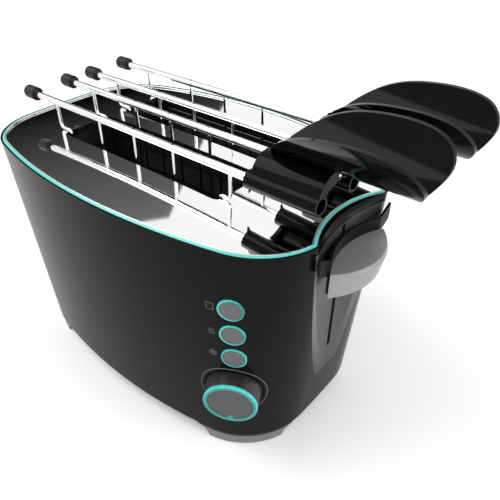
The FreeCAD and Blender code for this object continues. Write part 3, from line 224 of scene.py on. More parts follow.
class ToasterStudio(bpy.types.PropertyGroup):
    """Camera, floor and lights."""

    azimuth: bpy.props.FloatProperty(
        name="Azimuth", description="Camera's turn from the front towards the lever end",
        default=math.radians(41.27), unit="ROTATION")
    elevation: bpy.props.FloatProperty(
        name="Elevation", description="Camera's height above the horizon",
        default=math.radians(38.09), unit="ROTATION")
    roll: bpy.props.FloatProperty(
        name="Roll", description="Camera's roll",
        default=math.radians(-0.91), unit="ROTATION")
    position: bpy.props.FloatVectorProperty(
        name="Position", description="Camera's position", subtype="TRANSLATION",
        default=(0.2419, -0.2252, 0.3236))
    lens: bpy.props.FloatProperty(
        name="Lens", description="Focal length on a 36 mm sensor",
        default=38.74, unit="CAMERA")
    shift_right: bpy.props.FloatProperty(
        name="Shift right", description="Sideways shift of the view, as a share of its width",
        default=0.034, subtype="FACTOR")
    shift_up: bpy.props.FloatProperty(
        name="Shift up", description="Upward shift of the view, as a share of its width",
        default=0.0352, subtype="FACTOR")
    floor_half: bpy.props.FloatProperty(
        name="Floor", description="Half the side of the square floor",
        default=3.0, unit="LENGTH")
    floor_tone: bpy.props.FloatProperty(
        name="Floor tone", description="Grey value of the floor's own colour",
        default=0.92, subtype="FACTOR")
    floor_glow: bpy.props.FloatProperty(
        name="Floor glow", description="Light that the floor adds to its own in the camera's eye",
        default=0.22, subtype="FACTOR")
    backdrop: bpy.props.FloatProperty(
        name="Backdrop", description="Brightness of the backdrop, also in reflections",
        default=1.0, subtype="FACTOR")
    soft_light: bpy.props.FloatProperty(
        name="Soft light", description="Strength of the light from all round",
        default=0.75, subtype="FACTOR")
    card_edge: bpy.props.FloatProperty(
        name="Card edge", description="Turn from +X of the dark card's edge, at the horizon",
        default=math.radians(123.0), unit="ROTATION")
    card_lean: bpy.props.FloatProperty(
        name="Card lean", description="Turn of that edge for each unit of height angle",
        default=0.45, subtype="FACTOR")
    card_far: bpy.props.FloatProperty(
        name="Card far edge", description="Turn from +X of the card's other edge",
        default=math.radians(168.0), unit="ROTATION")
    card_low: bpy.props.FloatProperty(
        name="Card foot", description="Height angle of the dark card's lower edge",
        default=math.radians(10.0), unit="ROTATION")
    card_high: bpy.props.FloatProperty(
        name="Card top", description="Height angle of the dark card's upper edge",
        default=math.radians(34.0), unit="ROTATION")
    card_tone: bpy.props.FloatProperty(
        name="Card tone", description="Brightness of the card at its middle height",
        default=0.022, subtype="FACTOR")
    card_middle: bpy.props.FloatProperty(
        name="Card middle", description="Height angle at which the card has that tone",
        default=0.328, unit="ROTATION")
    card_fade: bpy.props.FloatProperty(
        name="Card fade", description="Brightness the card gains for each unit of height angle",
        default=0.45, subtype="FACTOR")


# Shader sums

class Link:
    """A shader socket that takes part in Python sums, adding Math nodes as it goes."""

    def __init__(self, finish, socket):
        self.finish = finish
        self.socket = socket

    def math(self, operation, *others):
        """A Math node that starts from this socket."""
        return self.finish.add("ShaderNodeMath", {"operation": operation}, self, *others)

    def after(self, operation, first):
        """A Math node in which this socket comes second."""
        return self.finish.add("ShaderNodeMath", {"operation": operation}, first, self)

    def __add__(self, other):
        return self.math("ADD", other)

    __radd__ = __add__

    def __sub__(self, other):
        return self.math("SUBTRACT", other)

    def __rsub__(self, other):
        return self.after("SUBTRACT", other)

    def __mul__(self, other):
        return self.math("MULTIPLY", other)

    __rmul__ = __mul__

    def __truediv__(self, other):
        return self.math("DIVIDE", other)

    def __rtruediv__(self, other):
        return self.after("DIVIDE", other)

    def __gt__(self, other):
        return self.math("GREATER_THAN", other)

    def __lt__(self, other):
        return self.math("LESS_THAN", other)


class Finish:
    """One node tree: a material, or the world."""

    def __init__(self, tree):
        self.tree = tree
        tree.nodes.clear()

    def feed(self, socket, value):
        """Links a socket, or gives it a value."""
        if isinstance(value, Link):
            self.tree.links.new(value.socket, socket)
        else:
            socket.default_value = value

    def add(self, kind, settings=None, *values, out=0, **named):
        """Adds a node: its settings first, then the values or links of its sockets."""
        node = self.tree.nodes.new(kind)
        for key, value in (settings or {}).items():
            setattr(node, key, value)
        for place, value in enumerate(values):
            self.feed(node.inputs[place], value)
        for key, value in named.items():
            self.feed(node.inputs[key.replace("_", " ")], value)
        return Link(self, node.outputs[out]) if node.outputs else node

    def place(self):
        """The surface's place on its own piece."""
        return self.add("ShaderNodeTexCoord", out="Object")

    def split(self, vector):
        """The three parts of a vector."""
        node = self.add("ShaderNodeSeparateXYZ", None, vector).socket.node
        return [Link(self, socket) for socket in node.outputs]

    def noise(self, scale, detail=2.0, roughness=0.5, at=None):
        """Soft cloudy values about 0.5."""
        return self.add("ShaderNodeTexNoise", None, Vector=at or self.place(), Scale=scale,
                        Detail=detail, Roughness=roughness)

    def cells(self, scale):
        """One random value from 0 to 1 for each cell of a crystal pattern."""
        colour = self.add("ShaderNodeTexVoronoi", None, Vector=self.place(), Scale=scale,
                          out="Color")
        return self.add("ShaderNodeSeparateColor", None, colour)

    def mix(self, share, low, high):
        """A colour between two others."""
        node = self.add("ShaderNodeMix", {"data_type": "RGBA"}, share, out="Result").socket.node
        colours = [socket for socket in node.inputs if socket.type == "RGBA"]
        for socket, value in zip(colours, (low, high)):
            self.feed(socket, value if isinstance(value, Link) else (*value, 1.0))
        return Link(self, [socket for socket in node.outputs if socket.type == "RGBA"][0])

    def bump(self, height, strength, distance):
        """Small relief from a height between 0 and 1."""
        return self.add("ShaderNodeBump", None, Strength=strength, Distance=distance, Height=height)


def finish_material(name):
    """A new material and its empty node tree."""
    material = bpy.data.materials.new(name)
    material.use_nodes = True
    return material, Finish(material.node_tree)


def close_material(finish, **sockets):
    """Ends a material in one Principled shader, with the given values or links in its sockets."""
    shader = finish.add("ShaderNodeBsdfPrincipled", None, **sockets)
    finish.add("ShaderNodeOutputMaterial", None, shader)


def shade(colour, factor):
    """A darker or lighter version of a colour."""
    return tuple(min(1.0, c * factor) for c in colour)


def gloss_plastic(name, colour, roughness=0.12, gloss=0.5):
    """Polished moulded plastic: faint orange peel, fine wiping marks and specks of dust."""
    material, f = finish_material(name)
    wipe = f.noise(26.0, detail=4.0, roughness=0.65)
    speck = (f.noise(2600.0, detail=1.0) > 0.80) * 0.12
    ripple = f.noise(420.0)
    tone = f.mix(wipe, shade(colour, 0.85), shade(colour, 1.2))
    base = f.mix(speck, tone, shade(colour, 6.0))
    close_material(f, Base_Color=base, Roughness=wipe * 0.06 + (roughness - 0.03) + speck * 0.4,
                   Normal=f.bump(ripple, strength=0.02, distance=0.2 * MM),
                   Specular_IOR_Level=gloss)
    return material


def satin_plastic(name, colour, roughness=0.42, grain=900.0, depth=0.06, gloss=0.5):
    """Fine spark-eroded plastic: an even pebble grain with slightly lighter peaks."""
    material, f = finish_material(name)
    pebble = f.noise(grain, detail=3.0, roughness=0.6)
    patch = f.noise(38.0, detail=3.0, roughness=0.6)
    base = f.mix(pebble * 0.6 + patch * 0.4, shade(colour, 0.86), shade(colour, 1.14))
    close_material(f, Base_Color=base, Roughness=pebble * 0.12 + patch * 0.08 + (roughness - 0.1),
                   Normal=f.bump(pebble, strength=depth, distance=0.3 * MM),
                   Specular_IOR_Level=gloss)
    return material


def highlight_fade_satin(name, colour, low, high, dim):
    """Satin plastic with a painted highlight that fades to painted shade towards its foot: colour
    at high, colour x dim at low.
    """
    material, f = finish_material(name)
    pebble = f.noise(1200.0, detail=3.0, roughness=0.6)
    height = f.split(f.place())[2]
    share = ((height - low) / (high - low)).math("MAXIMUM", 0.0).math("MINIMUM", 1.0)
    # Painted highlight at the top, painted shade towards the foot
    base = f.mix(share * 0.9 + pebble * 0.1, shade(colour, dim), colour)
    close_material(f, Base_Color=base, Roughness=pebble * 0.12 + 0.3,
                   Normal=f.bump(pebble, strength=0.03, distance=0.2 * MM))
    return material


def metal_paint(name, colour, metallic, roughness):
    """Silver paint on plastic: fine flakes under a satin lacquer."""
    material, f = finish_material(name)
    sparkle = f.cells(3800.0)
    patch = f.noise(30.0, detail=3.0, roughness=0.6)
    base = f.mix(sparkle * 0.3 + patch * 0.7, shade(colour, 0.93), shade(colour, 1.07))
    close_material(f, Base_Color=base, Metallic=sparkle * 0.06 + (metallic - 0.03),
                   Roughness=sparkle * 0.05 + patch * 0.06 + (roughness - 0.05),
                   Normal=f.bump(sparkle, strength=0.004, distance=0.1 * MM))
    return material


def bright_metal(name, colour, roughness, smear=0.05, scratch=0.012):
    """Polished or plated metal with faint smears and fine polishing lines along X."""
    material, f = finish_material(name)
    stretched = f.add("ShaderNodeMapping", None, f.place(), Scale=(8.0, 900.0, 900.0))
    lines = f.noise(1.0, detail=3.0, roughness=0.6, at=stretched)
    smears = f.noise(60.0, detail=4.0, roughness=0.6)
    base = f.mix(smears, shade(colour, 0.93), shade(colour, 1.05))
    close_material(f, Base_Color=base, Metallic=1.0,
                   Roughness=smears * smear + lines * (smear / 2) + roughness,
                   Normal=f.bump(lines, strength=scratch, distance=0.2 * MM))
    return material


def zinc_sheet(name, colour, roughness=0.38):
    """Zinc-plated sheet: crystal patches with slightly different tones."""
    material, f = finish_material(name)
    crystal = f.cells(180.0)
    stain = f.noise(22.0, detail=4.0, roughness=0.65)
    base = f.mix(crystal * 0.5 + stain * 0.5, shade(colour, 0.82), shade(colour, 1.1))
    close_material(f, Base_Color=base, Metallic=0.9,
                   Roughness=crystal * 0.12 + stain * 0.12 + (roughness - 0.12),
                   Normal=f.bump(crystal, strength=0.04, distance=0.3 * MM))
    return material


def rubber(name, colour, roughness=0.62):
    """Soft rubber: dull, faintly dusty, with a fine moulded grain."""
    material, f = finish_material(name)
    grain = f.noise(1400.0)
    dust = f.noise(70.0, detail=5.0, roughness=0.7)
    base = f.mix(dust, shade(colour, 0.8), shade(colour, 1.5))
    close_material(f, Base_Color=base, Roughness=grain * 0.14 + dust * 0.1 + (roughness - 0.12),
                   Normal=f.bump(grain, strength=0.12, distance=0.3 * MM),
                   Specular_IOR_Level=0.3)
    return material


def from_axis(f, place, axis):
    """Distance of the surface from an axis through a place."""
    reach = f.add("ShaderNodeVectorMath", {"operation": "SUBTRACT"}, f.place(), tuple(place))
    across, up = [f.add("ShaderNodeVectorMath", {"operation": "DOT_PRODUCT"}, reach, tuple(way),
                        out="Value") for way in frame_of(axis)[1:]]
    return (across * across + up * up).math("SQRT")


def turned_face(name, colour, knob):
    """Grey satin face with fine turned rings about the knob's axis."""
    material, f = finish_material(name)
    rings = (from_axis(f, knob.place, knob.axis) * 9000.0).math("SINE") * 0.5 + 0.5
    stain = f.noise(160.0, detail=4.0, roughness=0.6)
    base = f.mix(rings * 0.35 + stain * 0.65, shade(colour, 0.82), shade(colour, 1.2))
    close_material(f, Base_Color=base, Metallic=0.45, Roughness=stain * 0.14 + 0.28,
                   Normal=f.bump(rings, strength=0.05, distance=0.1 * MM))
    return material


def painted_shade_ring(name, colour, spots, axis, edge):
    """Gloss ring paint: painted shade on each ring's inner slope, and a painted highlight beyond
    edge from its axis.
    """
    material, f = finish_material(name)
    outside = 1.0
    for spot in spots:
        outside = outside * (from_axis(f, spot, axis) > edge)
    haze = f.noise(300.0, detail=3.0, roughness=0.6)
    # Painted shade and highlight: the inner slope takes the colour x 0.45, beyond edge it takes x
    # 1.15
    base = f.mix(outside * 0.8 + haze * 0.2, shade(colour, 0.45), shade(colour, 1.15))
    close_material(f, Base_Color=base, Roughness=haze * 0.08 + 0.16,
                   Normal=f.bump(haze, strength=0.02, distance=0.1 * MM))
    return material


def mica_board(name, colour):
    """Pressed mica: silvery flakes in thin brown layers."""
    material, f = finish_material(name)
    flake = f.cells(420.0)
    stain = f.noise(45.0, detail=4.0, roughness=0.6)
    base = f.mix(flake * 0.6 + stain * 0.4, shade(colour, 0.7), shade(colour, 1.15))
    close_material(f, Base_Color=base, Roughness=flake * 0.25 + 0.35,
                   Normal=f.bump(flake, strength=0.08, distance=0.3 * MM))
    return material


def wound_copper(name, colour):
    """Enamelled wire wound side by side: fine bands round the coil."""
    material, f = finish_material(name)
    bands = f.add("ShaderNodeTexWave", {"bands_direction": "Z", "wave_profile": "SIN"},
                  Vector=f.place(), Scale=1300.0, out=1)
    stain = f.noise(120.0, detail=3.0, roughness=0.5)
    base = f.mix(bands * 0.6 + stain * 0.4, shade(colour, 0.55), shade(colour, 1.1))
    close_material(f, Base_Color=base, Metallic=0.7, Roughness=stain * 0.15 + 0.28,
                   Normal=f.bump(bands, strength=0.4, distance=0.3 * MM))
    return material


def circuit_board(name, colour):
    """Green lacquered board with paler tracks under the lacquer."""
    material, f = finish_material(name)
    tracks = f.add("ShaderNodeTexBrick", {"offset": 0.5}, Vector=f.place(), Scale=90.0,
                   Mortar_Size=0.04, out=1)
    grain = f.noise(500.0)
    base = f.mix(tracks, colour, shade(colour, 1.7))
    close_material(f, Base_Color=base, Roughness=grain * 0.1 + 0.3,
                   Normal=f.bump(tracks, strength=0.2, distance=0.2 * MM))
    return material


def dress(material, *names):
    """Gives CAD nodes a material."""
    for name in names:
        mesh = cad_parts[name].data
        mesh.materials.clear()
        mesh.materials.append(material)


# Meshes from numpy grids

def grid_faces(rows, columns, first=0):
    """Quads between neighbours of a grid whose points are counted row by row."""
    index = first + np.arange(rows * columns).reshape(rows, columns)
    corners = (index[:-1, :-1], index[:-1, 1:], index[1:, 1:], index[1:, :-1])
    return np.stack(corners, axis=-1).reshape(-1, 4)


def mesh_object(name, points, faces, material, body, crease=40.0):
    """A smooth mesh object on a body. Meeting points are merged, so seams and poles close."""
    mesh = bpy.data.meshes.new(name)
    mesh.from_pydata(points.tolist(), [], faces.tolist())
    form = bmesh.new()
    form.from_mesh(mesh)
    bmesh.ops.remove_doubles(form, verts=form.verts, dist=0.001 * MM)
    bmesh.ops.recalc_face_normals(form, faces=form.faces)
    form.to_mesh(mesh)
    form.free()
    mesh.polygons.foreach_set("use_smooth", [True] * len(mesh.polygons))
    mesh.set_sharp_from_angle(angle=math.radians(crease))
    mesh.materials.append(material)
    thing = bpy.data.objects.new(name, mesh)
    bpy.context.scene.collection.objects.link(thing)
    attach(thing, body)
    return thing


def frame_of(axis):
    """Outward, sideways and upward unit directions of a spot on the wall."""
    out = Vector(axis).normalized()
    side = Vector((0, 0, 1)).cross(out).normalized()
    return np.array(out), np.array(side), np.array(out.cross(side))


def turned(profile, place, axis, around=120):
    """Points and faces of a form of revolution, for each (radius, height) of its profile and t once
    round: place + axis x height + radius x (side cos t + up sin t)."""
    out, side, up = frame_of(axis)
    radius, height = np.array(profile).T[:, :, None, None]
    t = np.linspace(0, 2 * math.pi, around + 1)[None, :, None]
    points = np.array(place) + height * out + radius * (np.cos(t) * side + np.sin(t) * up)
    return points.reshape(-1, 3), grid_faces(len(profile), around + 1)


def corner_centre(rim, end, side):
    """Centre of the corner's arc: as far from the end arc's and the side arc's centres as their
    radii less the corner's. Two spots are, and the one with the greater y is meant."""
    end_reach = rim.end_radius - rim.corner_radius
    side_reach = rim.side_radius - rim.corner_radius
    apart = np.linalg.norm(end - side)
    towards = (end - side) / apart
    along = (side_reach ** 2 - end_reach ** 2 + apart ** 2) / (2 * apart)
    off = math.sqrt(side_reach ** 2 - along ** 2)
    foot = side + towards * along
    across = np.array((-towards[1], towards[0])) * off
    return max(foot + across, foot - across, key=lambda spot: spot[1])


def rim_path(rim, inset, around=480, across=96):
    """The rim's outline drawn in by inset. Each point is its arc's centre + (radius - inset) x the
    outward direction. Between its crossings with the notch's circle, that circle takes over."""
    end = np.array((rim.half_length - rim.end_radius, 0.0))
    side = np.array((0.0, rim.half_width - rim.side_radius))
    corner = corner_centre(rim, end, side)
    centres = np.array((end, corner, side))
    radii = np.array((rim.end_radius, rim.corner_radius, rim.side_radius)) - inset
    limits = [math.atan2(*(corner - end)[::-1]), math.atan2(*(corner - side)[::-1])]

    def outline(t):
        way = np.stack((np.cos(t), np.sin(t)), axis=-1)
        quarter = np.arctan2(np.abs(way[:, 1]), np.abs(way[:, 0]))
        arc = np.searchsorted(limits, quarter)
        return np.sign(way) * (centres[arc] + radii[arc][:, None] * np.abs(way))

    middle = np.array((rim.notch_nose + rim.notch_radius, 0.0))
    reach = rim.notch_radius + inset
    t = np.linspace(1e-6, math.pi / 2, 4000)
    start = np.interp(0.0, np.linalg.norm(outline(t) - middle, axis=1) - reach, t)
    long_way = outline(np.linspace(start, 2 * math.pi - start, around))
    half = math.asin(long_way[0, 1] / reach)
    b = np.linspace(math.pi + half, math.pi - half, across)
    notch = middle + reach * np.stack((np.cos(b), np.sin(b)), axis=1)
    return np.concatenate((long_way, notch))


def round_rim(rim, profile):
    """Points and faces of a bar round the rim: each (inset, drop) of its profile follows the
    outline, at height crown - radius + sqrt(radius^2 - x^2) - drop."""
    rows = []
    for inset, drop in profile + profile[:1]:
        flat = rim_path(rim, inset)
        arch = np.sqrt(rim.crown_radius ** 2 - flat[:, 0] ** 2)
        row = np.column_stack((flat, rim.crown_height - rim.crown_radius + arch - drop))
        rows.append(np.concatenate((row, row[:1])))
    grid = np.array(rows)
    return grid.reshape(-1, 3), grid_faces(*grid.shape[:2])


def bead_profile():
    """Profile of the rim's bead, (inset, drop) in millimetres: middle - radius x (cos t, sin t)."""
    inset, drop = BEAD_MIDDLE
    outer = inset - BEAD_RADIUS
    inner = inset + BEAD_RADIUS
    arch = [(inset - BEAD_RADIUS * math.cos(t), drop - BEAD_RADIUS * math.sin(t))
            for t in np.linspace(*BEAD_ARCH, 9)]
    return [(outer, BEAD_FOOT), (outer, drop)] + arch + [(inner, drop), (inner, BEAD_FOOT)]


def on_wall(points, lift):
    """The points, moved to the nearest spot of the housing's wall and lifted off it."""
    mesh = bpy.data.meshes.new("laid_points")
    mesh.from_pydata(points.tolist(), [], [])
    thing = bpy.data.objects.new("laid_points", mesh)
    bpy.context.scene.collection.objects.link(thing)
    wrap = thing.modifiers.new("lay", "SHRINKWRAP")
    wrap.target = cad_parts["outer_shell"]
    wrap.wrap_method = "NEAREST_SURFACEPOINT"
    wrap.wrap_mode = "ABOVE_SURFACE"
    wrap.offset = lift
    laid = thing.evaluated_get(bpy.context.evaluated_depsgraph_get()).data
    places = np.empty(len(points) * 3)
    laid.vertices.foreach_get("co", places)
    bpy.data.objects.remove(thing)
    bpy.data.meshes.remove(mesh)
    return places.reshape(-1, 3)


def wall_ring(knob, bend, count=120, around=10):
    """Points and faces of the bead on the wall round the knob. Its path, a circle about the knob's
    axis bent back by bend - sqrt(bend^2 - sideways^2), is laid on the wall and carries a small
    circle: path + half its thickness x (outwards cos s + across sin s)."""
    out, side, up = frame_of(knob.axis)
    t = np.linspace(0, 2 * math.pi, count + 1)[:, None]
    sideways = knob.recess_radius * np.cos(t)
    upwards = knob.recess_radius * np.sin(t)
    back = bend - np.sqrt(bend ** 2 - sideways ** 2)
    path = on_wall(np.array(knob.place) + sideways * side + upwards * up - back * out, 0.0)
    along = np.gradient(path, axis=0)
    along[0] = along[-1] = path[1] - path[-2]
    across = np.cross(along, out)
    across /= np.linalg.norm(across, axis=1)[:, None]
    s = np.linspace(0, 2 * math.pi, around + 1)[:, None, None]
    grid = path + knob.recess_bead * (np.cos(s) * out + np.sin(s) * across)
    return grid.reshape(-1, 3), grid_faces(around + 1, count + 1)


def rounded(corner, radius, start, end, steps=6):
    """A profile's rounding: corner + radius x (cos t, sin t), t from start to end in degrees."""
    t = np.radians(np.linspace(start, end, steps))
    arc = np.array(corner) + radius * np.stack((np.cos(t), np.sin(t)), axis=1)
    return [tuple(point) for point in arc]


def knob_profiles(knob, ring_foot):
    """Profiles, (radius, height), of the knob's skirt, coloured ring and face."""
    inner = knob.top_radius - knob.ring_width
    skirt = [(0, -knob.foot), (knob.foot_radius, -knob.foot),
             (knob.foot_radius, -0.5 * knob.foot), (knob.top_radius, ring_foot),
             (inner, ring_foot), (0, ring_foot)]
    edge = 0.9 * MM
    lip = 0.35 * MM
    ring = [(inner, ring_foot), (knob.top_radius, ring_foot)]
    ring += rounded((knob.top_radius - edge, knob.proud - edge), edge, 0, 90)
    ring += rounded((inner + lip, knob.proud - lip), lip, 90, 180)
    ring.append((inner, ring_foot))
    sunk = 0.55 * MM
    bevel = 0.3 * MM
    dome = 0.1 * MM
    top = knob.proud - sunk
    face = [(0, ring_foot), (inner, ring_foot), (inner, top - bevel), (inner - bevel, top),
            (inner * 0.5, top + 0.8 * dome), (0, top + dome)]
    return skirt, ring, face


def pointer(knob, low, high):
    """Points and faces of the ring's small pointer: a blunt triangle from the ring's inner edge
    towards the middle, between two heights."""
    out, side, up = frame_of(knob.axis)
    overlap = 0.3 * MM
    root = knob.top_radius - knob.ring_width + overlap
    tip = root - knob.mark_length
    root_half = 0.75 * knob.mark_length
    tip_half = 0.12 * knob.mark_length
    flat = np.array(((-root_half, root), (root_half, root), (tip_half, tip), (-tip_half, tip)))
    corners = np.array(knob.place) + flat[:, :1] * side - flat[:, 1:] * up
    points = np.concatenate((corners + low * out, corners + high * out))
    sides = [(i, (i + 1) % 4, (i + 1) % 4 + 4, i + 4) for i in range(4)]
    return points, np.array(sides + [(3, 2, 1, 0), (4, 5, 6, 7)])


def ribbon(path, width):
    """Left and right edge of a line of that width: path +- width / 2 x its normal."""
    along = np.gradient(path, axis=0)
    across = np.stack((-along[:, 1], along[:, 0]), axis=1)
    across *= width / 2 / np.linalg.norm(across, axis=1)[:, None]
    return np.stack((path - across, path + across), axis=1)


# Drawings of the signs, one unit to each side of the middle

def slice_lines():
    """Outline of a slice, half of it and its mirror image: a square whose upper corners bulge."""
    half = np.array([(0.0, -0.95), (0.80, -0.95), (0.80, 0.20), (1.0, 0.50), (0.92, 0.82),
                     (0.60, 0.95), (0.0, 0.95)])
    other = half[::-1] * (-1, 1)
    return [np.concatenate((half, other[1:]))]


def heat_lines(count=24):
    """Three upright waves: x = middle + 0.16 sin(2 pi t), y = 0.9 (2 t - 1)."""
    t = np.linspace(0, 1, count)
    x = 0.16 * np.sin(2 * math.pi * t)
    y = 0.9 * (2 * t - 1)
    return [np.stack((middle + x, y), axis=1) for middle in (-0.6, 0.0, 0.6)]


def flake_lines():
    """Six spokes, 60 degrees apart, with a small fork near the end of each."""
    fork_tip = 0.95
    fork_root = 0.68
    fork_half = 0.3
    lines = []
    for turn in np.radians(range(30, 360, 60)):
        out = np.array((math.cos(turn), math.sin(turn)))
        side = np.array((-out[1], out[0]))
        lines.append(np.array((out * 0, out)))
        lines.append(np.array((out * fork_tip + side * fork_half, out * fork_root,
                               out * fork_tip - side * fork_half)))
    return lines


def print_sign(name, lines, spot, sizes, ink):
    """Lays the lines' ribbons, as thin as ink, on the wall nearest to a spot."""
    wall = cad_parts["outer_shell"]
    found, place, normal = wall.closest_point_on_mesh(Vector(spot))[:3]
    if not found:
        raise RuntimeError("no wall near " + name)
    side, up = frame_of(normal)[1:]
    edges = [ribbon(line, sizes.sign_stroke).reshape(-1, 2) for line in lines]
    starts = np.cumsum([0] + [len(edge) for edge in edges])
    faces = [grid_faces(len(line), 2, first) for line, first in zip(lines, starts)]
    flat = np.concatenate(edges)
    laid = on_wall(np.array(place) + flat[:, :1] * side + flat[:, 1:] * up, sizes.print_lift)
    mesh_object(name, laid, np.concatenate(faces), ink, "housing")


# Stage

def point_camera(studio):
    """Camera at the viewing angle, turned about its own axis by the roll."""
    a, e, r = studio.azimuth, studio.elevation, studio.roll
    back = Vector((math.sin(a) * math.cos(e), -math.cos(a) * math.cos(e), math.sin(e)))
    right = Vector((0, 0, 1)).cross(back).normalized()
    up = back.cross(right)
    rolled_right = right * math.cos(r) + up * math.sin(r)
    rolled_up = up * math.cos(r) - right * math.sin(r)
    turn = Matrix((rolled_right, rolled_up, back)).transposed()
    data = bpy.data.cameras.new("camera")
    data.lens = studio.lens
    data.sensor_width = 36.0
    data.shift_x = studio.shift_right
    data.shift_y = studio.shift_up
    data.clip_start = 0.01
    camera = bpy.data.objects.new("camera", data)
    camera.matrix_world = Matrix.Translation(Vector(studio.position)) @ turn.to_4x4()
    bpy.context.scene.collection.objects.link(camera)
    bpy.context.scene.camera = camera


def light_studio(studio):
    """Even light from all round. Mirrors and gloss show the white backdrop, and in it a dark card
    to the rear left."""
    world = bpy.data.worlds.new("studio")
    bpy.context.scene.world = world
    world.use_nodes = True
    w = Finish(world.node_tree)
    x, y, z = w.split(w.add("ShaderNodeTexCoord", out="Generated"))
    turn = y.math("ARCTAN2", x)
    lift = z.math("ARCSINE")
    near = lift * studio.card_lean + studio.card_edge
    beside = (turn > near) * (turn < studio.card_far)
    card = beside * (lift > studio.card_low) * (lift < studio.card_high)
    tone = (lift - studio.card_middle) * studio.card_fade + studio.card_tone
    shown = (1 - card * (1 - tone)) * studio.backdrop
    glossy = w.add("ShaderNodeLightPath", out="Is Glossy Ray")
    through = w.add("ShaderNodeLightPath", out="Is Transmission Ray")
    straight = w.add("ShaderNodeLightPath", out="Is Camera Ray").math("MAXIMUM", through)
    rest = 1 - straight.math("MAXIMUM", glossy)
    strength = straight * studio.backdrop + glossy * shown + rest * studio.soft_light
    white = (1.0, 1.0, 1.0, 1.0)
    light = w.add("ShaderNodeBackground", None, white, strength)
    w.add("ShaderNodeOutputWorld", None, light)


def lay_floor(studio):
    """A square white floor that glows a little in the camera's eye."""
    half = studio.floor_half
    points = [(-half, -half, 0), (half, -half, 0), (half, half, 0), (-half, half, 0)]
    mesh = bpy.data.meshes.new("floor")
    mesh.from_pydata(points, [], [(0, 1, 2, 3)])
    floor = bpy.data.objects.new("floor", mesh)
    bpy.context.scene.collection.objects.link(floor)
    material, f = finish_material("floor_white")
    seen = f.add("ShaderNodeLightPath", out="Is Camera Ray")
    tone = studio.floor_tone
    matt = f.add("ShaderNodeBsdfDiffuse", None, (tone, tone, tone, 1.0))
    glow = f.add("ShaderNodeEmission", None, (1.0, 1.0, 1.0, 1.0), studio.floor_glow)
    both = f.add("ShaderNodeAddShader", None, matt, glow)
    f.add("ShaderNodeOutputMaterial", None, f.add("ShaderNodeMixShader", None, seen, matt, both))
    mesh.materials.append(material)


def soft_box(name, place, size, power):
    """A rectangular lamp that looks at the lamps' target."""
    lamp = bpy.data.lights.new(name, "AREA")
    lamp.shape = "RECTANGLE"
    lamp.size, lamp.size_y = size
    lamp.energy = power
    thing = bpy.data.objects.new(name, lamp)
    turn = (Vector(LAMP_TARGET) - Vector(place)).to_track_quat("-Z", "Y")
    thing.matrix_world = Matrix.Translation(Vector(place)) @ turn.to_matrix().to_4x4()
    bpy.context.scene.collection.objects.link(thing)


# Operators, one for the stage and one for each piece or group of pieces

class TOASTER_OT_stage(bpy.types.Operator):
    """Makes the floor, the studio light and the camera."""

    bl_idname = "toaster.stage"
    bl_label = "Stage"

    def execute(self, context):
        studio = context.scene.toaster_studio
        lay_floor(studio)
        light_studio(studio)
        point_camera(studio)
        for name, place, size, power in LAMPS:
            soft_box(name, place, size, power)
        context.scene.view_settings.view_transform = "Standard"
        return {"FINISHED"}


class TOASTER_OT_housing(bpy.types.Operator):
    """Gives the housing, its plate, button rings, lever panel, base and feet their finishes."""

    bl_idname = "toaster.housing"
    bl_label = "Housing"

    def execute(self, context):
        colours = context.scene.toaster_colours
        axis = context.scene.toaster_knob.axis
        black = gloss_plastic("housing_gloss", colours.housing, roughness=0.13, gloss=0.08)
        mirror = bright_metal("plate_mirror", CHROME, roughness=0.02, smear=0.03, scratch=0.003)
        rings = painted_shade_ring("button_ring_gloss", colours.ring, BUTTON_SPOTS, axis,
                              edge=BUTTON_SLOPE_END)
        panel = satin_plastic("panel_satin", colours.panel, roughness=0.32, grain=700.0, depth=0.03)
        # The bezel's edge highlight is painted, fading to painted shade at its foot
        border = highlight_fade_satin("border_painted_highlight", BORDER_GREY, low=0.050, high=0.105, dim=0.12)
        feet = metal_paint("foot_paint", colours.foot, metallic=0.15, roughness=0.45)
        dress(black, "outer_shell", "crumb_tray_grip", "knob_recess")
        dress(mirror, "top_plate")
        dress(rings, "button_rings")
        dress(panel, "lever_panel")
        dress(border, "lever_bezel")
        dress(feet, "foot_front_left", "foot_front_right", "foot_rear_left", "foot_rear_right")
        dress(rubber("foot_rubber", PAD_RUBBER), "foot_pads")
        dress(satin_plastic("base_matt", BASE_BLACK, roughness=0.55), "base_plate", "cord_bushing")
        dress(zinc_sheet("zinc", ZINC), "crumb_tray", "screws")
        return {"FINISHED"}


class TOASTER_OT_rim(bpy.types.Operator):
    """Makes the rim's coloured band, sloped outwards, and the bright bead inside it."""

    bl_idname = "toaster.rim"
    bl_label = "Rim"

    def execute(self, context):
        rim = context.scene.toaster_rim
        paint = gloss_plastic("rim_gloss", context.scene.toaster_colours.band, roughness=0.2)
        mirror = bpy.data.materials["plate_mirror"]
        forms = (("rim_band", BAND_PROFILE, paint, "ring_teal"),
                 ("rim_bead", bead_profile(), mirror, "plate_mirror"))
        for name, profile, material, slot in forms:
            points, faces = round_rim(rim, [(inset * MM, drop * MM) for inset, drop in profile])
            mesh_object(name, points, faces, material, "housing")
        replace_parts(bpy.data.objects["rim_band"], "rim_ring")
        return {"FINISHED"}


class TOASTER_OT_controls(bpy.types.Operator):
    """Gives the lever and the buttons their finishes."""

    bl_idname = "toaster.controls"
    bl_label = "Controls"

    def execute(self, context):
        colours = context.scene.toaster_colours
        pad = metal_paint("lever_paint", colours.silver, metallic=0.14, roughness=0.30)
        backing = satin_plastic("backing_satin", BACKING_BLACK, roughness=0.35, gloss=0.12)
        button = satin_plastic("button_satin", colours.button, roughness=0.45, grain=1500.0,
                               depth=0.03)
        dress(pad, "lever_pad")
        dress(backing, "lever_backing")
        dress(button, "cancel_button", "reheat_button", "defrost_button")
        return {"FINISHED"}


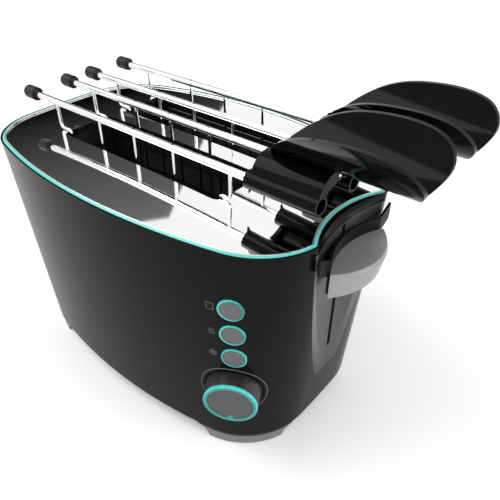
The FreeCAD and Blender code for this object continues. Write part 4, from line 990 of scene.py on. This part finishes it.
class TOASTER_OT_knob(bpy.types.Operator):
    """Makes the browning knob: a black skirt, a coloured ring with its pointer, and a grey face.
    A thin bead on the wall, painted light grey as a highlight, runs round its recess."""

    bl_idname = "toaster.knob"
    bl_label = "Knob"

    def execute(self, context):
        knob = context.scene.toaster_knob
        colours = context.scene.toaster_colours
        ring_foot = knob.proud - knob.ring_height
        # Where the painted highlight on the knob ring's rounded outer edge begins
        slope_end = knob.top_radius - 0.7 * MM
        black = gloss_plastic("knob_gloss", SKIRT_BLACK, roughness=0.2)
        paint = painted_shade_ring("knob_ring_gloss", colours.ring, [knob.place], knob.axis,
                              edge=slope_end)
        grey = turned_face("dial_satin", shade(colours.button, 0.75), knob)
        skirt, ring, face = knob_profiles(knob, ring_foot)
        forms = (("knob_skirt", skirt, black, "knob_dark", "knob_body"),
                 ("knob_band", ring, paint, "ring_teal", "knob_ring"),
                 ("knob_dial", face, grey, "face_grey", "knob_face"))
        for name, profile, material, slot, node in forms:
            points, faces = turned(profile, knob.place, knob.axis)
            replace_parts(mesh_object(name, points, faces, material, "knob"), node)
        mark_top = knob.proud - 0.3 * MM
        points, faces = pointer(knob, ring_foot, mark_top)
        mesh_object("knob_pointer", points, faces, paint, "knob")
        # Bent less than the rim's corner, so that the wall's outer face is the nearest one
        bend = 1.3 * context.scene.toaster_rim.corner_radius
        points, faces = wall_ring(knob, bend)
        # The bead's light grey is a painted highlight along the recess's edge
        gloss = gloss_plastic("bead_painted_highlight", RECESS_HIGHLIGHT_GREY, roughness=0.3)
        mesh_object("recess_bead", points, faces, gloss, "housing")
        return {"FINISHED"}


class TOASTER_OT_signs(bpy.types.Operator):
    """Prints three pictograms beside the buttons: a slice of bread, rising heat and a snowflake."""

    bl_idname = "toaster.signs"
    bl_label = "Signs"

    def execute(self, context):
        sizes = context.scene.toaster_sizes
        ink = satin_plastic("sign_ink", context.scene.toaster_colours.sign, roughness=0.5,
                            grain=2500.0, depth=0.02)
        half = sizes.sign_height / 2
        drawings = (("sign_slice", slice_lines()), ("sign_heat", heat_lines()),
                    ("sign_snowflake", flake_lines()))
        for (name, lines), spot in zip(drawings, SIGN_SPOTS):
            print_sign(name, [line * half for line in lines], spot, sizes, ink)
        return {"FINISHED"}


class TOASTER_OT_inside(bpy.types.Operator):
    """Gives the heating, the chassis and the carriage their finishes. What is seen deep in the
    slots is darkened as painted shade.
    """

    bl_idname = "toaster.inside"
    bl_label = "Inside"

    def execute(self, context):
        # Painted shade: these pieces deep in the slots are darkened far below their own colours
        shaded_sheet = zinc_sheet("slot_shade_sheet", SLOT_SHADE_ZINC, roughness=0.5)
        shaded_wire = bright_metal("slot_shade_wire", SLOT_SHADE_WIRE, roughness=0.3)
        slider = satin_plastic("slider_plastic", CREAM_PLASTIC, roughness=0.5)
        dress(zinc_sheet("chassis_zinc", DULL_ZINC), "latch_armature", "potentiometer")
        dress(shaded_sheet, "chassis_plate_left", "chassis_plate_right", "reflector_front",
              "reflector_rear")
        dress(bright_metal("inner_wire", STEEL_WIRE, roughness=0.16), "guide_rods", "return_spring")
        dress(shaded_wire, "bread_guards_front", "bread_guards_rear", "bread_rack_front",
              "bread_rack_rear")
        dress(mica_board("mica", SLOT_SHADE_MICA), "heater_board_front", "heater_board_middle",
              "heater_board_rear")
        dress(zinc_sheet("ribbon_alloy", SLOT_SHADE_RIBBON, roughness=0.5), "heater_ribbons")
        dress(wound_copper("coil_copper", COPPER), "electromagnet")
        dress(circuit_board("board_lacquer", GREEN_LACQUER), "control_board")
        dress(slider, "carriage_slider")
        return {"FINISHED"}


class TOASTER_OT_tongs(bpy.types.Operator):
    """Gives the two tongs their finishes."""

    bl_idname = "toaster.tongs"
    bl_label = "Tongs"

    def execute(self, context):
        handle = context.scene.toaster_colours.handle
        black = gloss_plastic("handle_gloss", handle, roughness=0.08, gloss=0.08)
        chrome = bright_metal("tong_chrome", CHROME, roughness=0.05, smear=0.03, scratch=0.001)
        tip = rubber("tip_rubber", TIP_RUBBER, roughness=0.42)
        for tong in ("front_tong", "rear_tong"):
            for jaw in ("front", "rear"):
                dress(chrome, tong + "_wires_" + jaw)
                dress(tip, tong + "_tip_" + jaw)
                dress(black, tong + "_handle_" + jaw)
            dress(chrome, tong + "_hinge_pin")
        return {"FINISHED"}


class TOASTER_PT_maker(bpy.types.Panel):
    """Lists the toaster's pieces and their settings in the 3D view's sidebar."""

    bl_label = "Toaster"
    bl_idname = "TOASTER_PT_maker"
    bl_space_type = "VIEW_3D"
    bl_region_type = "UI"
    bl_category = "Toaster"

    def draw(self, context):
        for operator in OPERATORS:
            self.layout.operator(operator.bl_idname)
        for name in GROUPS:
            group = getattr(context.scene, name)
            box = self.layout.box()
            for key in group.bl_rna.properties.keys():
                if key not in ("rna_type", "name"):
                    box.prop(group, key)


OPERATORS = (TOASTER_OT_stage, TOASTER_OT_housing, TOASTER_OT_rim, TOASTER_OT_controls,
             TOASTER_OT_knob, TOASTER_OT_signs, TOASTER_OT_inside, TOASTER_OT_tongs)
GROUPS = {"toaster_sizes": ToasterSizes, "toaster_rim": ToasterRim, "toaster_knob": ToasterKnob,
          "toaster_colours": ToasterColours, "toaster_studio": ToasterStudio}
CLASSES = tuple(GROUPS.values()) + OPERATORS + (TOASTER_PT_maker,)


def register():
    for kind in CLASSES:
        bpy.utils.register_class(kind)
    for name, group in GROUPS.items():
        setattr(bpy.types.Scene, name, bpy.props.PointerProperty(type=group))


def unregister():
    for name in GROUPS:
        delattr(bpy.types.Scene, name)
    for kind in reversed(CLASSES):
        bpy.utils.unregister_class(kind)


def main():
    register()
    bpy.ops.toaster.stage()
    bpy.ops.toaster.housing()
    bpy.ops.toaster.rim()
    bpy.ops.toaster.controls()
    bpy.ops.toaster.knob()
    bpy.ops.toaster.signs()
    bpy.ops.toaster.inside()
    bpy.ops.toaster.tongs()


if __name__ == "__main__":
    main()
